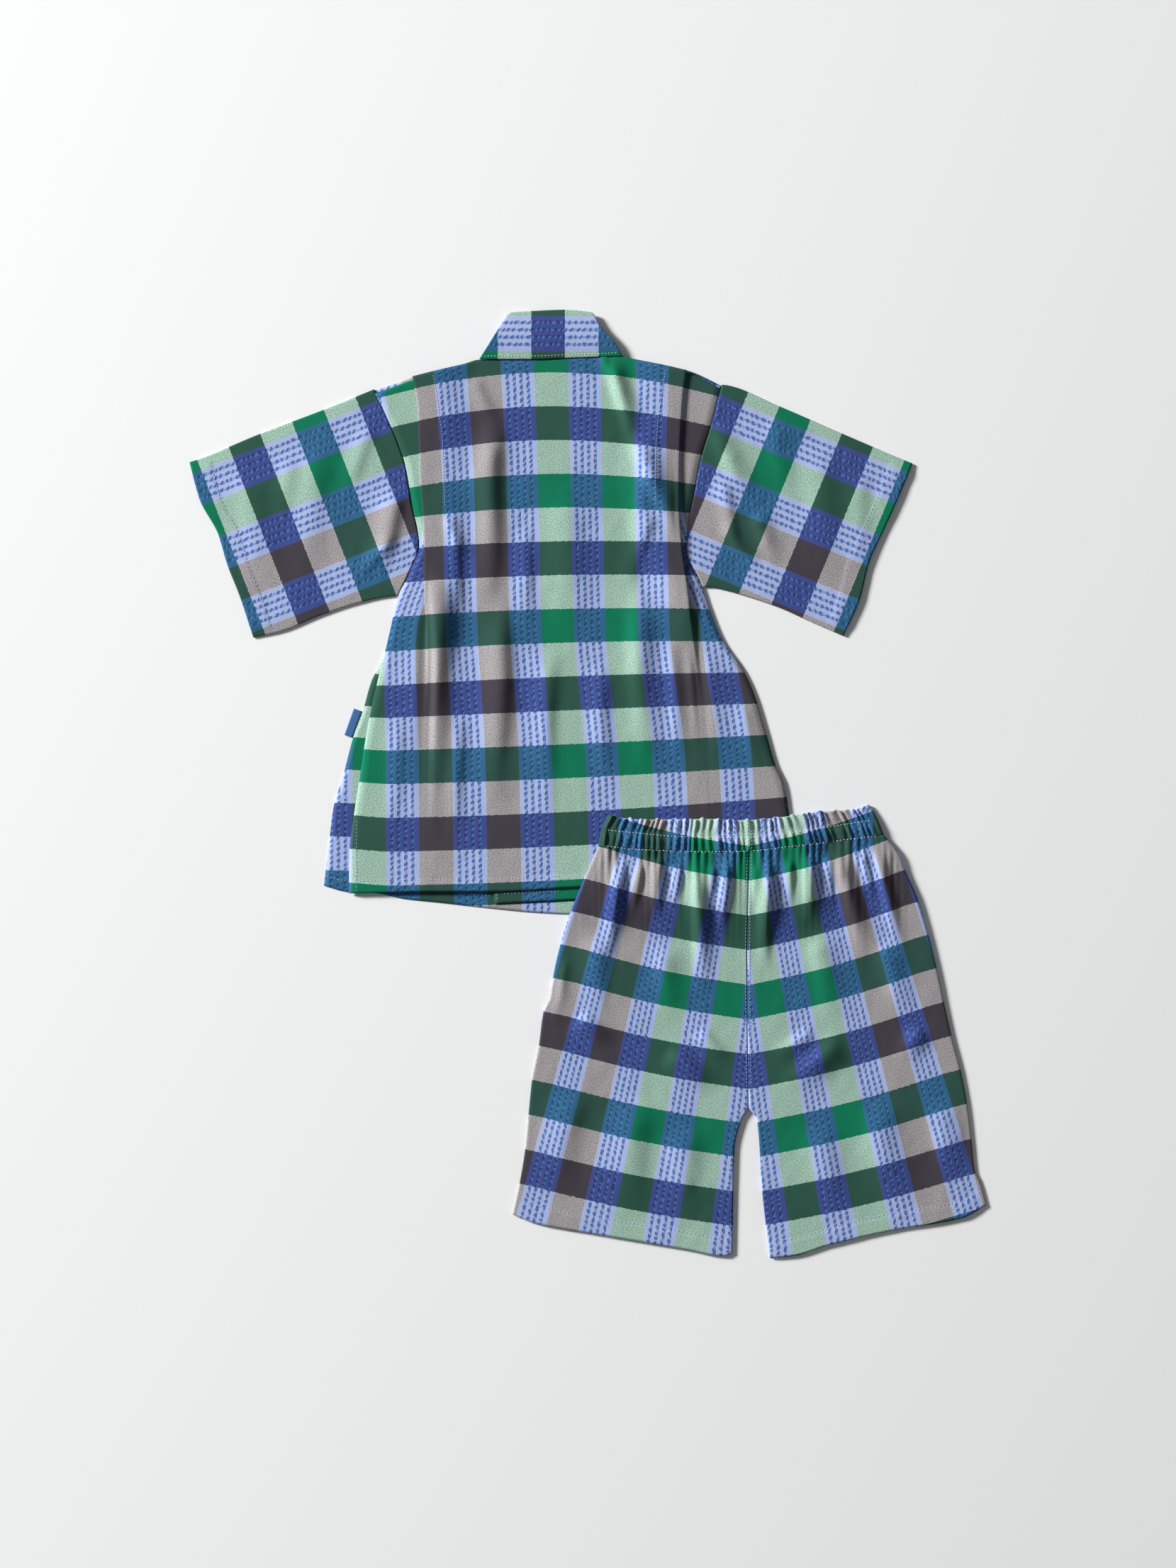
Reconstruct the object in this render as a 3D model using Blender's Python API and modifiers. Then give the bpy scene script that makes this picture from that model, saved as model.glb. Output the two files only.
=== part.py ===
"""A child's jinbei, the Japanese summer set: a wrap jacket and shorts in checked seersucker.

The jacket lies face down on a flat surface, so its back shows, with a sewn tuck at each shoulder.
The shorts lie over its lower right corner, their gathered waist towards the collar.

Every panel is one cloth wall. Its outline is four edges, each a short table of real sizes, and a
grid fills the space between them. Places are in millimetres from the middle of the laid set:
x to the right, y towards the collar and z up from the surface.
"""
import math

import bmesh
import bpy
from mathutils import Vector

MM = 0.001

# Cloth and seams, in millimetres
WALL = 1.0  # one cloth, with the loft of its puckered weave
GAP = 0.3  # air between neighbours
LAYER = WALL + GAP  # from one cloth to the cloth that lies on it
FLOOR = WALL / 2  # middle of a cloth that rests on the surface
ROLL = LAYER / 2  # radius of the middle of a pressed fold
SHELF = 12.0  # how far in from its side seam the inner front climbs onto the outer front
BACK_SHELF = 4.5  # and the back onto what lies between it and the fronts
COLLAR_WALL = 2.0  # a collar band is folded cloth
TIE_WIDTH = 8.0

# Jacket outline. Upper and lower edges have columns x, y; side edges have columns y, x.
SHOULDER_LINE = (
    (-165.5, 305.5), (-152.0, 310.0), (-139.0, 315.0), (-122.0, 319.5), (-95.5, 326.0), (-84.5, 329.0),
    (-42.0, 329.0), (-16.5, 330.0), (27.0, 331.5), (36.5, 329.0), (59.5, 323.5), (78.0, 320.5),
    (103.5, 309.0),
)
BACK_HEM = ((-185.5, -85.0), (-115.5, -83.5), (-75.0, -83.5), (-7.0, -80.0), (66.0, -77.5), (160.5, -74.5))
BACK_LEFT = (
    (305.5, -165.5), (267.0, -148.5), (246.0, -141.5), (220.5, -137.5), (185.5, -131.0), (163.5, -139.0),
    (146.0, -147.0), (113.0, -155.0), (87.0, -161.5), (54.0, -169.0), (29.0, -173.5), (5.0, -177.0),
    (-27.0, -182.0), (-52.0, -185.0), (-85.0, -185.5),
)
BACK_RIGHT = (
    (309.0, 103.5), (285.0, 97.5), (250.0, 87.0), (226.0, 82.5), (202.5, 78.0), (181.5, 76.5), (157.0, 87.0),
    (137.5, 93.5), (113.0, 103.5), (86.0, 121.5), (66.5, 130.0), (40.0, 138.0), (16.0, 145.0), (-1.0, 152.5),
    (-24.0, 156.0), (-52.0, 159.5), (-74.5, 160.5),
)
FRONT_LEFT_SIDE = BACK_LEFT[:8] + (
    (97.5, -159.0), (80.0, -168.0), (54.0, -175.5), (37.0, -182.0), (5.0, -190.5), (-18.0, -197.5),
    (-45.5, -201.0), (-79.0, -205.0),
)
FRONT_LEFT_HEM = (
    (-205.0, -79.0), (-188.0, -83.5), (-164.0, -85.0), (-143.5, -89.0), (-115.5, -92.0), (-75.0, -96.5),
    (-44.0, -99.5), (-15.5, -101.0), (37.0, -102.0),
)
FRONT_RIGHT_HEM = ((-73.0, -93.0), (-7.0, -89.5), (66.0, -84.0), (160.5, -80.0))

# The neck: the collar band stands above the shoulders and runs down each front to where it crosses.
NECK_LEFT, NECK_RIGHT = (-84.5, 329.0), (27.0, 331.5)
COLLAR_FOLD_LEFT = ((363.5, -62.5), (352.0, -70.0), (329.0, -84.5))
COLLAR_FOLD_RIGHT = ((363.5, 5.0), (356.5, 8.0), (343.0, 20.0), (331.5, 27.0))
COLLAR_TOP = ((-62.5, 363.5), (-59.5, 365.5), (-44.0, 366.5), (-18.5, 367.5), (3.0, 365.5), (5.0, 363.5))
COLLAR_ROLL = 1.5  # how far the band bows up across the neck
COLLAR_SEAM = ((-84.5, 329.0), (-42.0, 329.0), (-16.5, 330.0), (27.0, 331.5))
BAND_SLOPE = 0.38  # sideways for each millimetre down a front
BAND_ACROSS = 40.5  # the band measured level
BAND_TIP, BAND_FOOT = 3.0, 1.0  # its width at the neck fold, and how far below its end it is cut
BAND_LEFT_END, BAND_RIGHT_END = 124.0, 175.5  # where each band stops on its front
FRONT_LEFT_EDGE, FRONT_RIGHT_EDGE = 37.0, -73.0  # below the bands, where the fronts end
FRONT_STEP = 2.0  # length of the slanting edge between a band's end and the front's own edge

# Sleeves, laid flat and open at both ends
SLEEVE_LEFT_TOP = ((-309.0, 249.0), (-304.0, 250.5), (-254.0, 271.0), (-205.0, 289.5), (-165.5, 305.5))
SLEEVE_LEFT_UNDER = (
    (-260.0, 114.5), (-239.0, 119.0), (-208.0, 131.5), (-184.5, 139.5), (-159.5, 145.5), (-147.0, 147.0),
)
CUFF_LEFT = (
    (249.0, -309.0), (220.0, -301.0), (194.0, -287.0), (170.5, -280.0), (145.0, -270.0), (114.5, -260.0),
)
SLEEVE_RIGHT_TOP = (
    (103.5, 309.0), (108.0, 308.5), (146.5, 293.0), (196.0, 271.5), (246.5, 250.0), (251.5, 248.0),
)
SLEEVE_RIGHT_UNDER = (
    (88.0, 153.5), (94.5, 153.5), (105.0, 151.5), (122.5, 146.5), (148.5, 137.5), (169.5, 128.0),
    (198.5, 115.5),
)
CUFF_RIGHT = (
    (248.0, 251.5), (226.0, 242.5), (198.0, 230.0), (172.5, 218.5), (142.0, 210.5), (115.5, 198.5),
)

# Shoulder tucks. Columns: y, x of the fold edge, depth of the tuck, how far the fold is closed.
TUCK_LEFT = (
    (320.0, -139.0, 18.5, 1.0),
    (279.0, -131.5, 18.5, 1.0),
    (232.0, -130.0, 18.5, 1.0),
    (208.0, -128.0, 18.0, 1.0),
    (184.0, -127.0, 14.0, 1.0),
    (157.0, -127.0, 8.5, 1.0),
    (130.0, -126.5, 4.0, 1.0),
    (96.0, -125.5, 2.5, 0.0),
    (-90.0, -130.0, 2.5, 0.0),
)
TUCK_RIGHT = (
    (324.0, 78.5, 18.5, 1.0),
    (286.0, 73.0, 18.5, 1.0),
    (235.0, 70.5, 18.5, 1.0),
    (210.0, 70.5, 18.0, 1.0),
    (188.0, 72.0, 14.0, 1.0),
    (162.0, 75.0, 8.5, 1.0),
    (140.0, 78.0, 4.0, 1.0),
    (106.0, 84.0, 2.5, 0.0),
    (-80.0, 100.0, 2.5, 0.0),
)
TUCK_SETTLES = 30.0  # how far in from a tuck the cloth takes to come down from it
LEAST_TURN = 0.02  # an open tuck keeps this share of its turn, so that its path has a direction
LEAST_RUN = 0.6  # straight cloth left between a tuck's two turns

# How finely the grids divide each piece. Fronts and sleeves share the back's rows beside an armhole.
BACK_ROWS = 22
BACK_OUTSIDE, TUCK_STEPS, BACK_INSIDE = 4, 3, 18  # outside a tuck, round each turn, between the tucks
FRONT_COLUMNS, FRONT_ARMHOLE_ROWS, FRONT_LOWER_ROWS = 9, 11, 6
SLEEVE_COLUMNS, SLEEVE_ROWS, SLEEVE_TURN = 9, 9, 3
LEG_ROWS, LEG_OVER, LEG_TURN, LEG_UNDER = 13, 15, 4, 9
WAIST_ROWS, WAIST_TURN, WAIST_UNDER = 4, 4, 12

# Largest folds. Columns: x and y where it starts, x and y where it ends, half width, height.
BACK_FOLDS = (
    (-77, 280, -77, 115, 10, 3.0),
    (19, 322, 52, 222, 7, 2.5),
    (-66, 112, -73, -35, 9, 2.5),
    (-116, 90, -124, -45, 9, 3.0),
    (38, 150, 46, -8, 10, 2.5),
    (84, 95, 96, 0, 9, 2.5),
    (-20, 240, -8, 90, 14, 2.0),
)
SLEEVE_LEFT_FOLDS = (
    (-150, 225, -168, 150, 9, 3.5),
    (-205, 270, -225, 150, 13, 2.0),
    (-265, 245, -250, 150, 12, 1.5),
)
SLEEVE_RIGHT_FOLDS = (
    (98, 272, 128, 212, 9, 3.5),
    (128, 212, 150, 170, 8, 3.0),
    (175, 262, 185, 150, 13, 2.0),
)
SHORTS_LEFT_FOLDS = (
    (28, -60, 16, -128, 5, 2.5),
    (55, -62, 50, -122, 5, 2.5),
    (85, -62, 86, -128, 6, 3.0),
    (108, -62, 104, -112, 5, 2.0),
    (-8, -178, 20, -204, 8, 2.5),
    (60, -205, 104, -236, 9, 2.5),
    (40, -240, 26, -345, 14, 2.0),
)
SHORTS_RIGHT_FOLDS = (
    (143, -62, 140, -120, 5, 2.5),
    (170, -58, 173, -112, 6, 3.0),
    (198, -52, 206, -124, 6, 2.5),
    (222, -50, 238, -110, 5, 2.5),
    (200, -198, 146, -236, 9, 2.5),
    (262, -190, 240, -214, 8, 2.5),
    (222, -240, 240, -335, 14, 2.0),
)
FOLD_END = 0.35  # share of its length over which a fold rises at either end
SEAM_REST, SIDE_REST = 0.04, 0.12  # shares of a leg beside its seam and its side where folds have no height

# Shorts outline: the waistband with its ruffle above the two legs
RUFFLE_EDGE = (
    (15.5, -23.5), (24.0, -26.0), (43.0, -27.5), (94.0, -27.0), (119.0, -28.0), (150.5, -25.5),
    (175.5, -22.0), (208.0, -19.5), (218.0, -16.0),
)
WAIST_SEAM = (
    (8.0, -48.0), (37.5, -50.0), (67.5, -51.5), (94.0, -52.5), (125.0, -51.5), (150.5, -49.0), (175.5, -46.0),
    (204.0, -42.5), (229.5, -39.5),
)
WAIST_LEFT = ((-23.5, 15.5), (-36.5, 10.0), (-48.0, 8.0))
WAIST_RIGHT = ((-16.0, 218.0), (-26.0, 224.0), (-39.5, 229.5))
LEG_LEFT_SIDE = (
    (-48.0, 8.0), (-73.0, -3.0), (-100.5, -14.0), (-124.5, -21.5), (-148.5, -27.0), (-166.0, -29.5),
    (-176.0, -34.5), (-201.5, -38.0), (-229.5, -43.5), (-254.0, -46.0), (-281.0, -48.5), (-306.0, -52.5),
    (-334.0, -58.5),
)
LEG_RIGHT_SIDE = (
    (-39.5, 229.5), (-55.0, 242.0), (-67.0, 246.0), (-90.0, 256.0), (-151.5, 272.5), (-169.0, 276.0),
    (-195.5, 282.0), (-222.0, 289.0), (-251.5, 294.5), (-277.0, 297.5), (-300.0, 300.0), (-307.5, 303.5),
    (-326.5, 309.0),
)
LEG_LEFT_INSIDE = (
    (-51.5, 125.0), (-130.0, 123.5), (-250.0, 124.5), (-260.0, 119.0), (-284.0, 113.5), (-364.0, 112.0),
)
LEG_RIGHT_INSIDE = (
    (-51.5, 125.0), (-130.0, 123.5), (-250.0, 124.5), (-260.0, 131.0), (-315.0, 135.0), (-367.5, 141.0),
)
LEG_LEFT_HEM = (
    (-58.5, -334.0), (-40.5, -340.5), (15.5, -350.5), (74.5, -360.5), (106.5, -366.0), (112.0, -364.0),
)
LEG_RIGHT_HEM = (
    (141.0, -367.5), (159.0, -366.0), (185.5, -358.0), (237.0, -346.0), (289.0, -337.0), (309.0, -326.5),
)
WAIST_GATHERS = 48
GATHER_COLUMNS = 4
# Columns: share of the way down the waistband, height of the gathers, height of the band above its underside
WAIST_SECTIONS = ((0.0, 1.7, 3.2), (0.45, 0.8, 3.6), (0.75, 1.3, 4.2), (1.0, 0.9, 3.8))
# Columns: share of the way down a leg, height of its upper cloth above its lower one
LEG_LOFT = ((0.0, 3.4), (0.3, 2.6), (0.8, 1.6), (1.0, 1.3))

# Where the shorts climb onto the jacket
JACKET_TOP = 3 * LAYER
JACKET_RIGHT_LIMIT, JACKET_HEM_LIMIT = 164.0, -84.0
SLIDE_OFF_RIGHT, SLIDE_OFF_HEM = 31.0, 41.0


def eased(share):
    """A share from 0 to 1, slow at both ends."""
    share = min(1.0, max(0.0, share))
    return share * share * (3 - 2 * share)


def between(first, last, share):
    """The value a share of the way from the first to the last."""
    return first + (last - first) * share


class Line:
    """A smooth line through a table's rows, read by the table's first column."""

    def __init__(self, table):
        rows = sorted(table)
        self.keys = [row[0] for row in rows]
        self.columns = list(zip(*(row[1:] for row in rows)))
        self.slopes = [self.tangents(values) for values in self.columns]

    def tangents(self, values):
        """One slope for each row, level at each turning point, so the line never overshoots."""
        steps = [b - a for a, b in zip(self.keys, self.keys[1:])]
        rises = [(b - a) / step for a, b, step in zip(values, values[1:], steps)]
        slopes = [rises[0]]
        for before, after in zip(rises, rises[1:]):
            same_way = before * after > 0
            slopes.append(2 * before * after / (before + after) if same_way else 0.0)
        return slopes + [rises[-1]]

    def __call__(self, key, column=0):
        values, slopes = self.columns[column], self.slopes[column]
        if key <= self.keys[0]:
            return values[0]
        if key >= self.keys[-1]:
            return values[-1]
        i = max(k for k, known in enumerate(self.keys) if known <= key)
        step = self.keys[i + 1] - self.keys[i]
        t = (key - self.keys[i]) / step
        value = values[i] * (1 + 2 * t) * (1 - t) ** 2 + values[i + 1] * t * t * (3 - 2 * t)
        return value + step * t * (1 - t) * (slopes[i] * (1 - t) - slopes[i + 1] * t)


class Straight(Line):
    """A line with straight runs between its rows, for an edge that is cut straight."""

    def __call__(self, key, column=0):
        values = self.columns[column]
        for i, known in enumerate(self.keys[1:]):
            if key <= known:
                share = (key - self.keys[i]) / (known - self.keys[i])
                return between(values[i], values[i + 1], max(0.0, share))
        return values[-1]


class Panel:
    """A flat piece between four edges: tables of the upper and lower (x, y), lines of the sides (y, x)."""

    def __init__(self, upper, lower, left_line, right_line, seam=GAP / 2):
        self.upper, self.lower = upper, lower
        self.upper_line, self.lower_line = Line(upper), Line(lower)
        self.left_line, self.right_line = left_line, right_line
        self.seam = seam

    def row(self, down):
        """The left and right end of the row that lies a share of the way down."""
        left_y = between(self.upper[0][1], self.lower[0][1], down)
        right_y = between(self.upper[-1][1], self.lower[-1][1], down)
        return self.left_line(left_y) + self.seam, self.right_line(right_y) - self.seam

    def height(self, across, down):
        """y at a share of the way across and down, half a seam's gap inside both edges."""
        above = self.upper_line(between(self.upper[0][0], self.upper[-1][0], across)) - self.seam
        below = self.lower_line(between(self.lower[0][0], self.lower[-1][0], across)) + self.seam
        return between(above, below, down)

    def point(self, across, down):
        """x and y at a share of the way across and down."""
        left, right = self.row(down)
        return between(left, right, across), self.height(min(1.0, max(0.0, across)), down)


def fold_height(folds, x, y):
    """How far the largest folds lift the cloth at a place."""
    height = 0.0
    for start_x, start_y, end_x, end_y, half_width, top in folds:
        run_x, run_y = end_x - start_x, end_y - start_y
        length = math.hypot(run_x, run_y)
        along = ((x - start_x) * run_x + (y - start_y) * run_y) / length
        aside = ((x - start_x) * run_y - (y - start_y) * run_x) / length
        rise = length * FOLD_END
        ends = eased(along / rise) * eased((length - along) / rise)
        height += top * ends * math.exp(-((aside / half_width) ** 2))
    return height


def shelf(left, right, x):
    """0 at either side seam and 1 once the back lies a layer higher, further in."""
    return eased((x - left) / BACK_SHELF) * eased((right - x) / BACK_SHELF)


def over_jacket(x, y):
    """Height of the shorts' underside: on the jacket, and down to the surface beside it."""
    beside = 1 - eased((x - JACKET_RIGHT_LIMIT) / SLIDE_OFF_RIGHT)
    below = 1 - eased((JACKET_HEM_LIMIT - y) / SLIDE_OFF_HEM)
    return JACKET_TOP * beside * below


def dyed(name, colour):
    """Plain matt cotton in one colour."""
    material = bpy.data.materials.new(name)
    material.use_nodes = True
    shader = material.node_tree.nodes["Principled BSDF"]
    shader.inputs["Base Color"].default_value = (*colour, 1.0)
    shader.inputs["Roughness"].default_value = 0.9
    shader.inputs["Metallic"].default_value = 0.0
    return material


def cloth(name, columns, rows, place, material, wall=WALL, tube=False):
    """A wall of cloth on a grid. place(column, row) gives the middle of the wall in millimetres."""
    bm = bmesh.new()
    bmesh.ops.create_grid(bm, x_segments=columns, y_segments=rows, size=0.5)
    for vert in bm.verts:
        column = round((vert.co.x + 0.5) * columns)
        row = round((0.5 - vert.co.y) * rows)
        vert.co = Vector(place(column, row)) * MM
    if tube:
        bmesh.ops.remove_doubles(bm, verts=bm.verts, dist=1e-6)
    mesh = bpy.data.meshes.new(name)
    bm.to_mesh(mesh)
    bm.free()
    mesh.materials.append(material)
    mesh.shade_smooth()
    piece = bpy.data.objects.new(name, mesh)
    jinbei.objects.link(piece)
    thick = piece.modifiers.new("Cloth wall", "SOLIDIFY")
    thick.thickness = wall * MM
    thick.offset = 0.0
    thick.use_even_offset = True
    return piece


def flat_cloth(name, columns, downs, panel, level, material, wall=WALL):
    """A single cloth on a panel, its rows at the shares in downs. level(x, y, right) is its height."""

    def place(column, row):
        x, y = panel.point(column / columns, downs[row])
        return x, y, level(x, y, panel.row(downs[row])[1])

    return cloth(name, columns, len(downs) - 1, place, material, wall)


def even_rows(count):
    """Shares down a panel in even steps."""
    return [row / count for row in range(count + 1)]


def tuck_path(depth, closed):
    """Points up through a tuck's two turns, as (inwards, up), counted from the middle of its run."""
    turn = math.pi * max(closed, LEAST_TURN)
    bend = math.pi * ROLL
    straight = max(depth - 2 * ROLL, LEAST_RUN)
    path = []
    for step in range(TUCK_STEPS + 1):
        angle = turn * step / TUCK_STEPS
        path.append((bend / turn * math.sin(angle), bend / turn * (1 - math.cos(angle))))
    inwards, up = path[-1]
    inwards, up = inwards + straight * math.cos(turn), up + straight * math.sin(turn)
    for step in range(TUCK_STEPS + 1):
        angle = turn * (1 - step / TUCK_STEPS)
        sideways = bend / turn * (math.sin(turn) - math.sin(angle))
        path.append((inwards + sideways, up + bend / turn * (math.cos(angle) - math.cos(turn))))
    middle = (path[0][0] + path[-1][0]) / 2
    return [(inwards - middle, up) for inwards, up in path]


def back_section(panel, down):
    """One row of the back, from the left side through both tucks to the right side."""
    left, right = panel.row(down)
    points = []
    sides = []
    for tuck, inward, side in ((Line(TUCK_LEFT), 1, left), (Line(TUCK_RIGHT), -1, right)):
        share = 0.0 if inward > 0 else 1.0
        y = panel.height(share, down)
        fold, depth, closed = (tuck(y, column) for column in range(3))
        run = tuck_path(depth, closed)
        centre = fold + inward * depth / 2
        folded = [(centre + inward * step, up) for step, up in run]
        flat = [(between(side, folded[0][0], i / BACK_OUTSIDE), 0.0) for i in range(BACK_OUTSIDE)]
        sides.append((flat + folded, depth))
    (left_side, left_depth), (right_side, right_depth) = sides
    (left_foot, left_top), (right_foot, right_top) = left_side[-1], right_side[-1]
    middle = [(between(left_foot, right_foot, i / BACK_INSIDE), None) for i in range(1, BACK_INSIDE)]
    for x, up in left_side + middle + right_side[::-1]:
        across = (x - left) / (right - left)
        y = panel.height(across, down)
        if up is None:
            up = left_top * (1 - eased((x - left_foot - left_depth) / TUCK_SETTLES))
            up += right_top * (1 - eased((right_foot - right_depth - x) / TUCK_SETTLES))
            up += fold_height(BACK_FOLDS, x, y)
        z = FLOOR + LAYER + LAYER * shelf(left, right, x) + up
        points.append((x, y, z))
    return points


def make_back(material):
    """The back is one panel. Each tuck folds it into three layers that open below the stitching."""
    panel = Panel(SHOULDER_LINE, BACK_HEM, Line(BACK_LEFT), Line(BACK_RIGHT))
    sections = [back_section(panel, down) for down in even_rows(BACK_ROWS)]
    columns = len(sections[0]) - 1
    cloth("back", columns, BACK_ROWS, lambda column, row: sections[row][column], material)


def armhole_rows(side, hem_y, count, top_y, bottom_y):
    """Shares down a panel at which its side lies on the first rows of the back's side."""
    row = (side[0][0] - hem_y) / BACK_ROWS
    return [row * i / (top_y - bottom_y) for i in range(count)]


def front_rows(armhole, neck_y, band_end, hem_y):
    """Rows of a front: those beside the armhole, two where its edge steps out, and a few to the hem."""
    fall = neck_y - hem_y
    stop = (neck_y - band_end) / fall
    last = armhole[-1]
    below = [between(last, 1.0, i / FRONT_LOWER_ROWS) for i in range(1, FRONT_LOWER_ROWS + 1)]
    return sorted(armhole + below + [stop, stop + FRONT_STEP / fall])


def make_fronts(material):
    """Two fronts under the back: the left one lies lowest, and the right one on it."""
    band_foot = NECK_LEFT[0] + BAND_SLOPE * (NECK_LEFT[1] - BAND_LEFT_END)
    hem_y = FRONT_LEFT_HEM[-1][1]
    edge = Straight((
        NECK_LEFT[::-1], (BAND_LEFT_END, band_foot), (BAND_LEFT_END - FRONT_STEP, FRONT_LEFT_EDGE),
        (hem_y, FRONT_LEFT_EDGE),
    ))
    shoulder = (BACK_LEFT[0][::-1], (-122.0, 319.5), NECK_LEFT)
    panel = Panel(shoulder, FRONT_LEFT_HEM, Line(FRONT_LEFT_SIDE), edge)
    armhole = armhole_rows(
        BACK_LEFT, BACK_HEM[0][1], FRONT_ARMHOLE_ROWS, BACK_LEFT[0][0], FRONT_LEFT_HEM[0][1],
    )
    rows = front_rows(armhole, NECK_LEFT[1], BAND_LEFT_END, hem_y)
    flat_cloth("front_left", FRONT_COLUMNS, rows, panel, lambda x, y, right: FLOOR, material)

    band_foot = NECK_RIGHT[0] - BAND_SLOPE * (NECK_RIGHT[1] - BAND_RIGHT_END)
    hem_y = FRONT_RIGHT_HEM[0][1]
    edge = Straight((
        NECK_RIGHT[::-1], (BAND_RIGHT_END, band_foot), (BAND_RIGHT_END - FRONT_STEP, FRONT_RIGHT_EDGE),
        (hem_y, FRONT_RIGHT_EDGE),
    ))
    shoulder = (NECK_RIGHT, (78.0, 320.5), BACK_RIGHT[0][::-1])
    side = Line(BACK_RIGHT[:-1] + (FRONT_RIGHT_HEM[-1][::-1],))
    panel = Panel(shoulder, FRONT_RIGHT_HEM, edge, side)
    armhole = armhole_rows(
        BACK_RIGHT, BACK_HEM[-1][1], FRONT_ARMHOLE_ROWS, BACK_RIGHT[0][0], FRONT_RIGHT_HEM[-1][1],
    )
    rows = front_rows(armhole, NECK_RIGHT[1], BAND_RIGHT_END, hem_y)

    def climbing(x, y, right):
        return FLOOR + LAYER * eased((right - x) / SHELF)

    flat_cloth("front_right", FRONT_COLUMNS, rows, panel, climbing, material)


def sleeve_ring(downs):
    """Steps round a flattened sleeve: share down, how far past the edge, height, share of the folds."""
    angles = [math.pi * i / SLEEVE_TURN for i in range(1, SLEEVE_TURN)]
    upper = [(down, 0.0, FLOOR + LAYER, math.sin(math.pi * down)) for down in downs]
    underarm = [(1.0, ROLL * math.sin(angle), FLOOR + ROLL + ROLL * math.cos(angle), 0.0) for angle in angles]
    under = [(down, 0.0, FLOOR, 0.0) for down in reversed(downs)]
    top = [(0.0, -ROLL * math.sin(angle), FLOOR + ROLL - ROLL * math.cos(angle), 0.0) for angle in angles]
    return upper + underarm + under + top + upper[:1]


def make_sleeve(name, panel, upper, lower, armhole, end, folds, material):
    """A sleeve is a tube laid flat. end is the index of the armhole's end in the edge tables."""
    downs = armhole_rows(armhole, BACK_HEM[-1 - end][1], SLEEVE_ROWS, upper[end][1], lower[end][1]) + [1.0]
    ring = sleeve_ring(downs)

    def place(column, row):
        across = column / SLEEVE_COLUMNS
        down, past, height, share = ring[row]
        depth = panel.height(across, 0.0) - panel.height(across, 1.0)
        x, y = panel.point(across, down + past / depth)
        return x, y, height + share * fold_height(folds, x, y)

    cloth(name, SLEEVE_COLUMNS, len(ring) - 1, place, material, tube=True)


def make_sleeves(material):
    """Two sleeves, each from its cuff to its armhole, with a fold along the top and the underarm."""
    left = Panel(SLEEVE_LEFT_TOP, SLEEVE_LEFT_UNDER, Line(CUFF_LEFT), Line(BACK_LEFT), seam=GAP)
    make_sleeve(
        "sleeve_left", left, SLEEVE_LEFT_TOP, SLEEVE_LEFT_UNDER, BACK_LEFT, -1, SLEEVE_LEFT_FOLDS, material,
    )
    right = Panel(SLEEVE_RIGHT_TOP, SLEEVE_RIGHT_UNDER, Line(BACK_RIGHT), Line(CUFF_RIGHT), seam=GAP)
    make_sleeve(
        "sleeve_right", right, SLEEVE_RIGHT_TOP, SLEEVE_RIGHT_UNDER, BACK_RIGHT, 0, SLEEVE_RIGHT_FOLDS,
        material,
    )


def make_band(name, start, fold, end, way, level, material):
    """The collar's run down one front, from the neck to its end."""
    seam_end = start[0] + way * BAND_SLOPE * (start[1] - end)
    tip_y, tip_x = fold[0]
    sewn = Straight(fold + ((end, seam_end),))
    free = Straight((
        (tip_y, tip_x + way * BAND_TIP), (start[1], start[0] + way * BAND_ACROSS),
        (end, seam_end + way * BAND_ACROSS),
    ))
    tip = ((tip_x, tip_y), (tip_x + way * BAND_TIP, tip_y))
    foot = ((seam_end, end + BAND_FOOT), (seam_end + way * BAND_ACROSS, end + BAND_FOOT))
    if way > 0:
        panel = Panel(tip, foot, sewn, free)
    else:
        panel = Panel(tip[::-1], foot[::-1], free, sewn)
    flat_cloth(name, 3, even_rows(10), panel, lambda x, y, right: level, material)


def make_collar(material):
    """The collar: a band across the back of the neck, and a band down each front."""
    neck = Panel(COLLAR_TOP, COLLAR_SEAM, Line(COLLAR_FOLD_LEFT), Line(COLLAR_FOLD_RIGHT))
    top, seam = 366.0, 329.0

    def rolled(x, y, right):
        share = min(1.0, max(0.0, (y - seam) / (top - seam)))
        return 2 * LAYER + COLLAR_WALL / 2 + COLLAR_ROLL * math.sin(math.pi * share)

    flat_cloth("collar_back", 14, even_rows(5), neck, rolled, material, COLLAR_WALL)
    make_band("collar_left", NECK_LEFT, COLLAR_FOLD_LEFT, BAND_LEFT_END, 1, FLOOR, material)
    make_band("collar_right", NECK_RIGHT, COLLAR_FOLD_RIGHT, BAND_RIGHT_END, -1, FLOOR + LAYER, material)


def strip(name, start, end, width, level, material):
    """A straight flat strip of cloth, such as a tie."""
    run = Vector(end) - Vector(start)
    side = Vector((-run.y, run.x)).normalized() * width
    pieces = 6

    def place(column, row):
        spot = Vector(start) + run * row / pieces + side * (column / 2 - 0.5)
        return spot.x, spot.y, level

    cloth(name, 2, pieces, place, material)


def make_ties(material):
    """Two pairs of ties close the fronts: one pair outside, one pair between front and back."""
    upper = FLOOR + LAYER
    strip("tie_outer_front", (42.0, 105.0), (52.0, -65.0), TIE_WIDTH, FLOOR, material)
    strip("tie_outer_side", (84.0, 88.0), (106.0, -65.0), TIE_WIDTH, FLOOR, material)
    strip("tie_inner_front", (-78.5, 105.0), (-88.0, -60.0), TIE_WIDTH, upper, material)
    strip("tie_inner_side", (-142.0, 92.0), (-150.0, -60.0), TIE_WIDTH, upper, material)


def make_label(material):
    """A bare tab sewn into the left side seam."""
    strip("side_tab", (-178.5, 57.5), (-185.9, 37.0), 6.6, FLOOR, material)


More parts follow.
